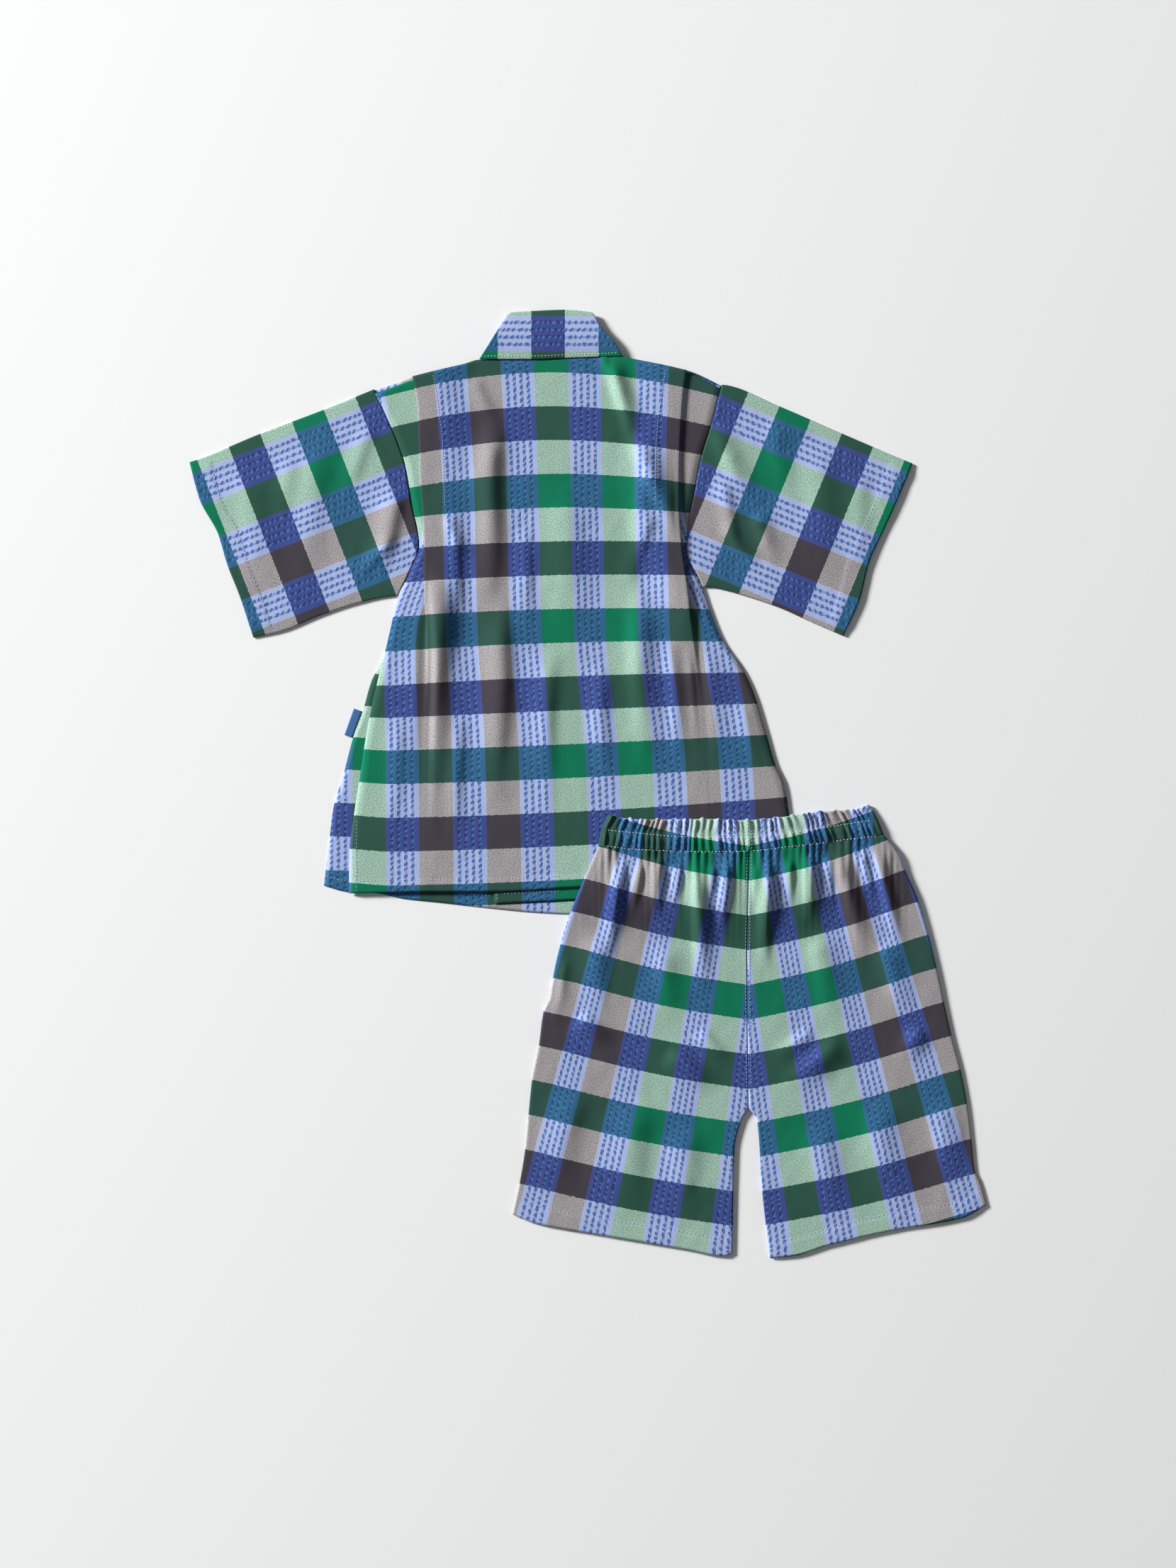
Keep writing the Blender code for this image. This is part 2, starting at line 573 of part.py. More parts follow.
def make_leg(name, inside, side, hem, folds, way, material):
    """A leg is one piece: from the centre back seam round the side, and back to the centre front."""
    loft = Line(LEG_LOFT)
    waist = tuple(row for row in WAIST_SEAM if (row[0] - WAIST_SEAM[4][0]) * way <= 0)
    edges = (side, inside) if way > 0 else (inside, side)
    panel = Panel(waist, hem, Line(edges[0]), Line(edges[1]))

    def place(column, row):
        down = row / LEG_ROWS
        rise = loft(down)
        left, right = panel.row(down)
        inset = (rise / 2 + WALL / 2) / (right - left)
        lift = 0.0
        if column <= LEG_OVER:
            share = between(1.0, inset, column / LEG_OVER)
            lift = eased((share - inset) / SIDE_REST) * eased((1.0 - share) / SEAM_REST)
            up = rise
        elif column < LEG_OVER + LEG_TURN:
            angle = math.pi * (column - LEG_OVER) / LEG_TURN
            share = inset - rise / 2 * math.sin(angle) / (right - left)
            up = rise / 2 * (1 + math.cos(angle))
        else:
            share = between(inset, 1.0, (column - LEG_OVER - LEG_TURN) / LEG_UNDER)
            up = 0.0
        x, y = panel.point(share if way > 0 else 1 - share, down)
        return x, y, FLOOR + over_jacket(x, y) + up + lift * fold_height(folds, x, y)

    cloth(name, LEG_OVER + LEG_TURN + LEG_UNDER, LEG_ROWS, place, material)


def make_legs(material):
    """The left and the right leg of the shorts."""
    make_leg("shorts_left", LEG_LEFT_INSIDE, LEG_LEFT_SIDE, LEG_LEFT_HEM, SHORTS_LEFT_FOLDS, 1, material)
    make_leg(
        "shorts_right", LEG_RIGHT_INSIDE, LEG_RIGHT_SIDE, LEG_RIGHT_HEM, SHORTS_RIGHT_FOLDS, -1, material,
    )


def make_waistband(material):
    """The waist: elastic drawn through a casing, with a ruffle standing above it."""
    panel = Panel(RUFFLE_EDGE, WAIST_SEAM, Line(WAIST_LEFT), Line(WAIST_RIGHT))
    sections = Line(WAIST_SECTIONS)
    over = WAIST_GATHERS * GATHER_COLUMNS

    def place(column, row):
        down = row / WAIST_ROWS
        gather, rise = sections(down), sections(down, 1)
        left, right = panel.row(down)
        inset = (rise / 2 + WALL / 2) / (right - left)
        if column <= over:
            share = between(inset, 1 - inset, column / over)
            up = rise + gather * (1 - math.cos(2 * math.pi * column / GATHER_COLUMNS)) / 2
        elif column < over + WAIST_TURN:
            angle = math.pi * (column - over) / WAIST_TURN
            share = 1 - inset + rise / 2 * math.sin(angle) / (right - left)
            up = rise / 2 * (1 + math.cos(angle))
        elif column <= over + WAIST_TURN + WAIST_UNDER:
            share = between(1 - inset, inset, (column - over - WAIST_TURN) / WAIST_UNDER)
            up = 0.0
        else:
            angle = math.pi * (column - over - WAIST_TURN - WAIST_UNDER) / WAIST_TURN
            share = inset - rise / 2 * math.sin(angle) / (right - left)
            up = rise / 2 * (1 - math.cos(angle))
        x, y = panel.point(share, down)
        return x, y, FLOOR + over_jacket(x, y) + up

    cloth("waistband", over + WAIST_UNDER + 2 * WAIST_TURN, WAIST_ROWS, place, material, tube=True)


for old in list(bpy.data.objects):
    bpy.data.objects.remove(old, do_unlink=True)
jinbei = bpy.data.collections.new("jinbei_set")
bpy.context.scene.collection.children.link(jinbei)

checked = dyed("Checked seersucker", (0.20, 0.34, 0.33))
collar_cloth = dyed("Checked seersucker, collar", (0.16, 0.28, 0.30))
tie_cloth = dyed("Green cotton tie", (0.02, 0.20, 0.11))
tab_cloth = dyed("Blue woven tab", (0.05, 0.14, 0.36))
make_back(checked)
make_fronts(checked)
make_sleeves(checked)
make_collar(collar_cloth)
make_ties(tie_cloth)
make_label(tab_cloth)
make_legs(checked)
make_waistband(collar_cloth)
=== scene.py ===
# %% [markdown]
# # A child's jinbei, laid flat
# A jinbei is a Japanese summer set: a wrap jacket with straight sleeves, and shorts with a gathered
# waist. This one is sewn from a checked seersucker. It lies on a pale floor, seen from straight above,
# jacket face down, with the shorts over its lower right corner. The frame holds plain solids of every
# cloth piece. Each one is replaced here by a thin, finely creased shell on the same edges, so nothing
# moves and every fold has a home.

# %% Load the frame
import math

import bmesh
import bpy
import numpy as np
from mathutils import Matrix, Vector, noise
from mathutils.bvhtree import BVHTree


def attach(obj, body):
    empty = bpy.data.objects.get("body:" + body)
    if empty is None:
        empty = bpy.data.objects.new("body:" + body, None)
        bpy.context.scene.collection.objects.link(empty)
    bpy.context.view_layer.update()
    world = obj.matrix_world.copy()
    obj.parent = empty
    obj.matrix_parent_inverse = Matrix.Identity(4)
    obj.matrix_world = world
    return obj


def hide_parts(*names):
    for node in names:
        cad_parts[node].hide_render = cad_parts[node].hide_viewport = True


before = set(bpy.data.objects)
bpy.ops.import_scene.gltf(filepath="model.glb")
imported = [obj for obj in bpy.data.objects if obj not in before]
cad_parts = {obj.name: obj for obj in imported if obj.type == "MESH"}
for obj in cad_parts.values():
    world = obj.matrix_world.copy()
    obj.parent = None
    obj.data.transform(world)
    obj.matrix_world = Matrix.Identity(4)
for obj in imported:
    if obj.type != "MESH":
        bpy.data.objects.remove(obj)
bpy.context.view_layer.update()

BODY = "root"

# %% [markdown]
# ## Sizes of the cloth
# Lengths are in millimetres from the middle of the laid set: x to the right, y towards the collar, z
# up. The pieces lie in layers 1.3 mm apart, as the solids do, but the shells are thinner, as real shirt
# cotton is. The outlines are short tables of places measured on the garment, joined by smooth lines.
# Upper and lower edges are read as (x, y). Sides, cuffs and the collar's folds are read as (y, x).

# %% Layers, and the outlines of the jacket
MM = 0.001
LAYER = 1.3  # from one cloth to the cloth on it
FLOOR = 0.5  # middle of a cloth that lies on the surface
ROLL = LAYER / 2  # radius of a pressed fold
CLOTH = 0.55  # thickness of the shells
SEAM = 0.15  # half of the gap between neighbours
BACK_TURNED, CUFF_TURNED, LEG_TURNED = 9.5, 17.0, 13.0  # depth of the turned hems

SHOULDER_LINE = (
    (-165.5, 305.5), (-152.0, 310.0), (-139.0, 315.0), (-122.0, 319.5), (-95.5, 326.0), (-84.5, 329.0),
    (-42.0, 329.0), (-16.5, 330.0), (27.0, 331.5), (36.5, 329.0), (59.5, 323.5), (78.0, 320.5),
    (103.5, 309.0),
)
BACK_HEM = (
    (-185.5, -85.0), (-115.5, -83.5), (-75.0, -83.5), (-7.0, -80.0), (66.0, -77.5), (160.5, -74.5),
)
BACK_LEFT = (
    (305.5, -165.5), (267.0, -148.5), (246.0, -141.5), (220.5, -137.5), (185.5, -131.0),
    (163.5, -139.0), (146.0, -147.0), (113.0, -155.0), (87.0, -161.5), (54.0, -169.0), (29.0, -173.5),
    (5.0, -177.0), (-27.0, -182.0), (-52.0, -185.0), (-85.0, -185.5),
)
BACK_RIGHT = (
    (309.0, 103.5), (285.0, 97.5), (250.0, 87.0), (226.0, 82.5), (202.5, 78.0), (181.5, 76.5),
    (157.0, 87.0), (137.5, 93.5), (113.0, 103.5), (86.0, 121.5), (66.5, 130.0), (40.0, 138.0),
    (16.0, 145.0), (-1.0, 152.5), (-24.0, 156.0), (-52.0, 159.5), (-74.5, 160.5),
)
FRONT_LEFT_SIDE = BACK_LEFT[:8] + (
    (97.5, -159.0), (80.0, -168.0), (54.0, -175.5), (37.0, -182.0), (5.0, -190.5), (-18.0, -197.5),
    (-45.5, -201.0), (-79.0, -205.0),
)
FRONT_LEFT_HEM = (
    (-205.0, -79.0), (-188.0, -83.5), (-164.0, -85.0), (-143.5, -89.0), (-115.5, -92.0), (-75.0, -96.5),
    (-44.0, -99.5), (-15.5, -101.0), (37.0, -102.0),
)
FRONT_RIGHT_HEM = ((-73.0, -93.0), (-7.0, -89.5), (66.0, -84.0), (160.5, -80.0))
NECK_LEFT, NECK_RIGHT = (-84.5, 329.0), (27.0, 331.5)
COLLAR_FOLD_LEFT = ((363.5, -62.5), (352.0, -70.0), (329.0, -84.5))
COLLAR_FOLD_RIGHT = ((363.5, 5.0), (356.5, 8.0), (343.0, 20.0), (331.5, 27.0))
COLLAR_TOP = ((-62.5, 363.5), (-59.5, 365.5), (-44.0, 366.5), (-18.5, 367.5), (3.0, 365.5), (5.0, 363.5))
COLLAR_SEAM = ((-84.5, 329.0), (-42.0, 329.0), (-16.5, 330.0), (27.0, 331.5))
BAND_SLOPE, BAND_ACROSS = 0.38, 40.5  # the collar's runs: sideways for each mm down, and their width
BAND_LEFT_END, BAND_RIGHT_END = 124.0, 175.5
FRONT_LEFT_EDGE, FRONT_RIGHT_EDGE = 37.0, -73.0
SLEEVE_LEFT_TOP = ((-309.0, 249.0), (-304.0, 250.5), (-254.0, 271.0), (-205.0, 289.5), (-165.5, 305.5))
SLEEVE_LEFT_UNDER = (
    (-260.0, 114.5), (-239.0, 119.0), (-208.0, 131.5), (-184.5, 139.5), (-159.5, 145.5),
    (-147.0, 147.0),
)
CUFF_LEFT = (
    (249.0, -309.0), (220.0, -301.0), (194.0, -287.0), (170.5, -280.0), (145.0, -270.0),
    (114.5, -260.0),
)
SLEEVE_RIGHT_TOP = (
    (103.5, 309.0), (108.0, 308.5), (146.5, 293.0), (196.0, 271.5), (246.5, 250.0), (251.5, 248.0),
)
SLEEVE_RIGHT_UNDER = (
    (88.0, 153.5), (94.5, 153.5), (105.0, 151.5), (122.5, 146.5), (148.5, 137.5), (169.5, 128.0),
    (198.5, 115.5),
)
CUFF_RIGHT = (
    (248.0, 251.5), (226.0, 242.5), (198.0, 230.0), (172.5, 218.5), (142.0, 210.5), (115.5, 198.5),
)
print("jacket: %.0f mm from cuff to cuff" % (CUFF_RIGHT[0][1] - CUFF_LEFT[0][1]))

# %% [markdown]
# The shorts' waistband is as wide as its elastic lets it be, and the legs widen from there. The centre
# seam is one line down to the crotch, and the two inside edges part below it.

# %% The outlines of the shorts
RUFFLE_EDGE = (
    (15.5, -23.5), (24.0, -26.0), (43.0, -27.5), (94.0, -27.0), (119.0, -28.0), (150.5, -25.5),
    (175.5, -22.0), (208.0, -19.5), (218.0, -16.0),
)
WAIST_SEAM = (
    (8.0, -48.0), (37.5, -50.0), (67.5, -51.5), (94.0, -52.5), (125.0, -51.5), (150.5, -49.0),
    (175.5, -46.0), (204.0, -42.5), (229.5, -39.5),
)
WAIST_LEFT = ((-23.5, 15.5), (-36.5, 10.0), (-48.0, 8.0))
WAIST_RIGHT = ((-16.0, 218.0), (-26.0, 224.0), (-39.5, 229.5))
LEG_LEFT_SIDE = (
    (-48.0, 8.0), (-73.0, -3.0), (-100.5, -14.0), (-124.5, -21.5), (-148.5, -27.0), (-166.0, -29.5),
    (-176.0, -34.5), (-201.5, -38.0), (-229.5, -43.5), (-254.0, -46.0), (-281.0, -48.5),
    (-306.0, -52.5), (-334.0, -58.5),
)
LEG_RIGHT_SIDE = (
    (-39.5, 229.5), (-55.0, 242.0), (-67.0, 246.0), (-90.0, 256.0), (-151.5, 272.5), (-169.0, 276.0),
    (-195.5, 282.0), (-222.0, 289.0), (-251.5, 294.5), (-277.0, 297.5), (-300.0, 300.0),
    (-307.5, 303.5), (-326.5, 309.0),
)
LEG_LEFT_INSIDE = (
    (-51.5, 125.0), (-130.0, 123.5), (-250.0, 124.5), (-260.0, 119.0), (-284.0, 113.5), (-364.0, 112.0),
)
LEG_RIGHT_INSIDE = (
    (-51.5, 125.0), (-130.0, 123.5), (-250.0, 124.5), (-260.0, 131.0), (-315.0, 135.0), (-367.5, 141.0),
)
LEG_LEFT_HEM = (
    (-58.5, -334.0), (-40.5, -340.5), (15.5, -350.5), (74.5, -360.5), (106.5, -366.0), (112.0, -364.0),
)
LEG_RIGHT_HEM = (
    (141.0, -367.5), (159.0, -366.0), (185.5, -358.0), (237.0, -346.0), (289.0, -337.0),
    (309.0, -326.5),
)
print("shorts: %.0f mm from ruffle to hem" % (RUFFLE_EDGE[-1][1] - LEG_RIGHT_HEM[0][1]))

# %% [markdown]
# ## Lines and panels
# A tailor draws a panel by its four edges. `Line` reads a table as a smooth curve without overshoot,
# and `Panel` finds any place between four such edges from a share across and a share down. Working on
# whole arrays at once keeps the fine grids quick.

# %% Smooth lines and panels
def eased(share):
    """A share from 0 to 1, slow at both ends."""
    share = np.clip(share, 0.0, 1.0)
    return share * share * (3 - 2 * share)


def between(first, last, share):
    return first + (last - first) * share


class Line:
    """A smooth line through a table's rows, read by the table's first column."""

    def __init__(self, table, straight=False):
        rows = np.array(sorted(table), dtype=float)
        self.keys, self.values = rows[:, 0], rows[:, 1:]
        self.straight = straight
        rises = np.diff(self.values, axis=0) / np.diff(self.keys)[:, None]
        inner = np.zeros_like(self.values[1:-1])
        before, after = rises[:-1], rises[1:]
        same = before * after > 0
        inner[same] = 2 * before[same] * after[same] / (before[same] + after[same])
        self.slopes = np.vstack([rises[:1], inner, rises[-1:]])

    def __call__(self, key, column=0):
        key = np.clip(key, self.keys[0], self.keys[-1])
        values, slopes = self.values[:, column], self.slopes[:, column]
        if self.straight:
            return np.interp(key, self.keys, values)
        i = np.clip(np.searchsorted(self.keys, key, side="right") - 1, 0, len(self.keys) - 2)
        step = self.keys[i + 1] - self.keys[i]
        t = (key - self.keys[i]) / step
        value = values[i] * (1 + 2 * t) * (1 - t) ** 2 + values[i + 1] * t * t * (3 - 2 * t)
        return value + step * t * (1 - t) * (slopes[i] * (1 - t) - slopes[i + 1] * t)


class Panel:
    """A flat piece between four edges: its upper and lower edge (x, y) and its two sides (y, x)."""

    def __init__(self, upper, lower, left, right, straight=(False, False), seam=SEAM):
        self.upper, self.lower, self.seam = upper, lower, seam
        self.upper_line, self.lower_line = Line(upper), Line(lower)
        self.left_line, self.right_line = Line(left, straight[0]), Line(right, straight[1])

    def row(self, down):
        left_y = between(self.upper[0][1], self.lower[0][1], down)
        right_y = between(self.upper[-1][1], self.lower[-1][1], down)
        return self.left_line(left_y) + self.seam, self.right_line(right_y) - self.seam

    def height(self, across, down):
        across = np.clip(across, 0.0, 1.0)
        above = self.upper_line(between(self.upper[0][0], self.upper[-1][0], across)) - self.seam
        below = self.lower_line(between(self.lower[0][0], self.lower[-1][0], across)) + self.seam
        return between(above, below, down)

    def point(self, across, down):
        left, right = self.row(down)
        return between(left, right, across), self.height(across, down)


back_panel = Panel(SHOULDER_LINE, BACK_HEM, BACK_LEFT, BACK_RIGHT)
print("back: %.0f mm wide at the hem" % (back_panel.row(1.0)[1] - back_panel.row(1.0)[0]))

# %% [markdown]
# ## Folds
# Cotton that was washed and then laid out by hand keeps soft folds: long drapes from the shoulders,
# drag lines where a seam pulls, and fans under a gathered waist. Each main one is given as a row of a
# table, with its own length, width and height. A ridge has a steep side and a slack side, and a little
# slow noise keeps two neighbours from looking alike.

# %% Fold tables and how high they lift the cloth
# Columns: x and y where the fold starts, x and y where it ends, half width, height, lean from -1 to 1
BACK_FOLDS = (
    (-74, 292, -78, 112, 10, 3.6, 0.4), (17, 334, 37, 258, 6, 4.2, -0.7),
    (34, 276, 74, 182, 8, 3.8, -0.7), (11, 334, 18, 312, 2.5, 1.4, 0.3),
    (-66, 150, -73, -38, 10, 3.0, 0.5), (-114, 176, -124, -50, 13, 3.4, 0.6),
    (38, 160, 46, -8, 10, 2.6, -0.4), (84, 110, 98, 0, 9, 2.6, -0.5), (-20, 240, -8, 90, 14, 1.6, 0.2),
    (-100, 60, -104, -60, 6, 1.4, 0.3), (-30, 110, -34, -40, 8, 1.6, 0.4),
    (8, 100, 14, -20, 7, 1.5, 0.2), (62, 120, 74, 0, 6, 1.6, -0.3), (-146, 60, -153, -60, 6, 1.4, 0.5),
    (-50, 200, -46, 100, 6, 1.2, 0.5), (44, 250, 36, 175, 7, 1.3, -0.5),
    (-104, 200, -98, 120, 5, 1.4, 0.5), (118, 70, 132, 0, 6, 1.4, -0.5),
    (-90, 318, -70, 270, 6, 1.2, 0.4), (50, 214, 28, 150, 6, 1.6, 0.5),
    (-112, 210, -92, 168, 5, 1.5, -0.4),
)
SLEEVE_LEFT_FOLDS = (
    (-146, 232, -166, 150, 8, 3.2, 0.5), (-205, 275, -225, 140, 13, 1.8, 0.3),
    (-265, 250, -252, 135, 12, 1.4, -0.3), (-168, 285, -190, 210, 7, 1.3, 0.4),
    (-150, 196, -184, 152, 5, 1.6, 0.5), (-228, 262, -244, 180, 7, 1.0, 0.2),
)
SLEEVE_RIGHT_FOLDS = (
    (98, 280, 128, 212, 8, 3.4, -0.5), (128, 212, 150, 168, 7, 2.8, -0.4),
    (175, 266, 188, 140, 13, 1.8, -0.3), (102, 240, 118, 172, 6, 2.2, 0.4),
    (104, 205, 136, 158, 5, 1.8, -0.4), (140, 285, 160, 210, 8, 1.5, -0.4),
    (212, 250, 206, 150, 8, 1.2, 0.3),
)
SHORTS_FOLDS = (
    (28, -54, 12, -150, 5, 2.8, 0.3), (55, -54, 51, -108, 5, 2.6, 0.4),
    (85, -54, 88, -168, 6, 3.4, -0.4), (108, -54, 103, -124, 4, 2.6, 0.2),
    (-8, -178, 20, -204, 8, 2.2, 0.4), (60, -205, 104, -238, 9, 2.4, 0.5),
    (40, -240, 26, -352, 14, 1.8, 0.3), (70, -60, 66, -100, 3.5, 1.8, 0.3),
    (42, -58, 33, -105, 3.5, 1.8, 0.3), (97, -60, 95, -96, 3.5, 1.6, 0.3),
    (-20, -130, -28, -190, 8, 1.4, 0.4), (10, -110, 4, -190, 9, 1.6, 0.4),
    (60, -120, 62, -190, 9, 1.5, -0.3), (84, -190, 112, -216, 6, 1.4, 0.5),
    (76, -260, 72, -350, 12, 1.4, 0.3), (-12, -230, -26, -330, 12, 1.4, 0.4),
    (139, -54, 137, -150, 5, 3.4, 0.3), (170, -52, 172, -112, 6, 2.8, -0.4),
    (192, -46, 216, -142, 7, 3.4, -0.3), (222, -44, 244, -138, 5, 2.6, -0.3),
    (200, -198, 146, -238, 9, 2.4, -0.5), (262, -190, 240, -214, 8, 2.2, -0.3),
    (222, -240, 242, -345, 14, 1.8, -0.3), (156, -56, 156, -96, 3.5, 1.8, 0.3),
    (185, -52, 190, -100, 3.5, 1.8, 0.3), (212, -48, 222, -96, 3.5, 1.6, 0.3),
    (130, -60, 130, -98, 3.0, 1.4, 0.3), (180, -110, 188, -190, 10, 1.6, -0.4),
    (230, -120, 246, -190, 9, 1.6, -0.4), (176, -190, 140, -214, 6, 1.4, -0.5),
    (180, -260, 190, -350, 12, 1.4, 0.3), (270, -240, 284, -326, 11, 1.4, -0.4),
)


def fold_height(folds, x, y):
    """How far the folds lift the cloth. Lean makes one side steeper, and the far end fades slowly."""
    height = np.zeros_like(x)
    for start_x, start_y, end_x, end_y, half_width, top, lean in folds:
        run_x, run_y = end_x - start_x, end_y - start_y
        length = math.hypot(run_x, run_y)
        along = ((x - start_x) * run_x + (y - start_y) * run_y) / length
        aside = ((x - start_x) * run_y - (y - start_y) * run_x) / length
        aside = aside + 0.12 * half_width * np.sin(along / 17.0 + start_x)
        width = half_width * (1 + 0.45 * lean * np.tanh(aside / half_width))
        ends = eased(along / (length * 0.25)) * eased((length - along) / (length * 0.65))
        height += top * ends * np.exp(-((aside / width) ** 2))
    return height


def hem_step(gap, depth):
    """The turned hem is a second cloth, so it stands a little higher than the cloth beside it."""
    return 0.4 * eased((depth - gap) / 1.5)


def slack(x, y, seed, height=0.35, size=26.0):
    """Slow unevenness of cloth that was smoothed by hand, with a finer one on it."""
    values = [
        noise.noise((a / size, b / size, seed)) + 0.5 * noise.noise((a / 9.0, b / 12.0, seed + 7))
        for a, b in zip(np.ravel(x), np.ravel(y))
    ]
    return height * np.reshape(values, np.shape(x))


all_folds = BACK_FOLDS + SLEEVE_LEFT_FOLDS + SLEEVE_RIGHT_FOLDS + SHORTS_FOLDS
print("folds placed by hand:", len(all_folds))

# %% [markdown]
# ## From a grid to a cloth
# Every shell starts as a flat grid from `create_grid`, whose points are then moved to their places. The
# same grid carries a UV map in bands of the check, laid out as the cloth was cut, so the woven pattern
# runs through tucks and folds as it does on the real garment. Solidify then gives it the thickness of
# shirt cotton.

# %% One cloth shell
def cloth_shell(name, x, y, z, u, v, material, thickness=CLOTH, tube=False):
    """A shell on arrays of places in millimetres. u and v count bands of the check."""
    rows, columns = x.shape[0] - 1, x.shape[1] - 1
    bm = bmesh.new()
    bmesh.ops.create_grid(bm, x_segments=columns, y_segments=rows, size=0.5)
    bands = bm.loops.layers.uv.new("bands")
    spots = {}
    for vert in bm.verts:
        spots[vert] = round((0.5 - vert.co.y) * rows), round((vert.co.x + 0.5) * columns)
    for face in bm.faces:
        for loop in face.loops:
            spot = spots[loop.vert]
            loop[bands].uv = u[spot], v[spot]
    for vert, spot in spots.items():
        vert.co = x[spot] * MM, y[spot] * MM, z[spot] * MM
    if tube:
        bmesh.ops.remove_doubles(bm, verts=bm.verts, dist=1e-6)
    mesh = bpy.data.meshes.new(name)
    bm.to_mesh(mesh)
    bm.free()
    mesh.materials.append(material)
    mesh.shade_smooth()
    piece = bpy.data.objects.new(name, mesh)
    bpy.context.scene.collection.objects.link(piece)
    wall = piece.modifiers.new("Cloth thickness", "SOLIDIFY")
    wall.thickness, wall.offset, wall.use_even_offset = thickness * MM, 0.0, True
    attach(piece, BODY)
    area = 1e4 * sum(face.area for face in mesh.polygons)
    print("%-18s %6d faces, %5.0f cm2 of cloth" % (name, len(mesh.polygons), area))
    return piece


def grid_shares(columns, rows):
    """Shares across and down for every point of a grid."""
    return np.meshgrid(np.linspace(0, 1, columns + 1), np.linspace(0, 1, rows + 1))


# %% [markdown]
# ## Yarn-dyed seersucker
# The cloth is woven from cotton yarns dyed before weaving, so a band's colour comes from the warp and
# the weft together: a green warp under a white weft gives a speckled mint. Every second warp band is
# seersucker, where slack yarns pucker between tight ones, and four blue lines run in it. The maker's
# own order of bands isn't copied: this is a generic check with bands of like width and colours, its
# plain columns set in pairs.

# %% Colours and node helpers
def colour(code):
    """An sRGB hex value as linear colour."""
    parts = [int(code[i:i + 2], 16) / 255 for i in (1, 3, 5)]
    return tuple(p / 12.92 if p <= 0.04045 else ((p + 0.055) / 1.055) ** 2.4 for p in parts) + (1.0,)


def add(tree, kind, links=(), **settings):
    """Adds a node with its settings, and links (input, socket) pairs into it."""
    node = tree.nodes.new(kind)
    for key, value in settings.items():
        if key.startswith("in_"):
            node.inputs[int(key[3:])].default_value = value
        else:
            setattr(node, key, value)
    for target, source in links:
        tree.links.new(source, node.inputs[target])
    return node


def calc(tree, operation, a, b=0.0, c=0.0):
    """One step of arithmetic on sockets or numbers."""
    node = tree.nodes.new("ShaderNodeMath")
    node.operation = operation
    for i, value in enumerate((a, b, c)):
        if isinstance(value, (int, float)):
            node.inputs[i].default_value = value
        else:
            tree.links.new(value, node.inputs[i])
    return node.outputs[0]


def mixed(tree, share, first, second, blend="MIX"):
    """A colour mix; share, first and second are sockets or values."""
    node = tree.nodes.new("ShaderNodeMix")
    node.data_type, node.blend_type = "RGBA", blend
    for i, value in ((0, share), (6, first), (7, second)):
        if isinstance(value, (int, float, tuple)):
            node.inputs[i].default_value = value
        else:
            tree.links.new(value, node.inputs[i])
    return node.outputs[2]


def ramp(tree, share, stops):
    """Steps of colour: each stop holds until the next, as bands of yarn do."""
    node = tree.nodes.new("ShaderNodeValToRGB")
    node.color_ramp.interpolation = "CONSTANT"
    elements = node.color_ramp.elements
    while len(elements) < len(stops):
        elements.new(0.5)
    for element, (place, tone) in zip(elements, stops):
        element.position, element.color = place, tone
    tree.links.new(share, node.inputs[0])
    return node.outputs[0]


print("mint, as linear red, green and blue: %.3f, %.3f, %.3f" % colour("#9BBBAA")[:3])

# %% [markdown]
# The material could be drawn as an image, but then its size would be fixed and its edges would blur.
# Here it is arithmetic on the band counts u and v: whole numbers tell which yarn is on top, and the
# fractions place the blue lines. Slow noise moves the edges, because no yarn runs quite straight.

# %% The seersucker material
WARP_CYCLE = 8  # plain and puckered bands in turn; the plain ones are green twice, then charcoal twice
BAND = 26.4  # width of a band in millimetres
PUCKER = 4.6  # from one pucker to the next along the warp
LINE_PITCH = 5.4  # from one blue line to the next
LINE_WIDTH = 2.8

# For each kind of warp: the colour where it crosses the white, charcoal, white and green weft in turn
CROSSINGS = {
    "green": ("#9BBBAA", "#2D5547", "#9BBBAA", "#0D7454"),
    "charcoal": ("#A09B9C", "#443F47", "#A09B9C", "#2F5148"),
    "pucker ground": ("#AAB6DC", "#414D8A", "#AAB6DC", "#336588"),
    "pucker line": ("#7E99D1", "#4A6CAC", "#7E99D1", "#4173A3"),
    # The darker line colour below is painted shade, where the puckers crease away from the light.
    "pucker line shade": ("#5371B4", "#2F4380", "#5371B4", "#2A5483"),
}


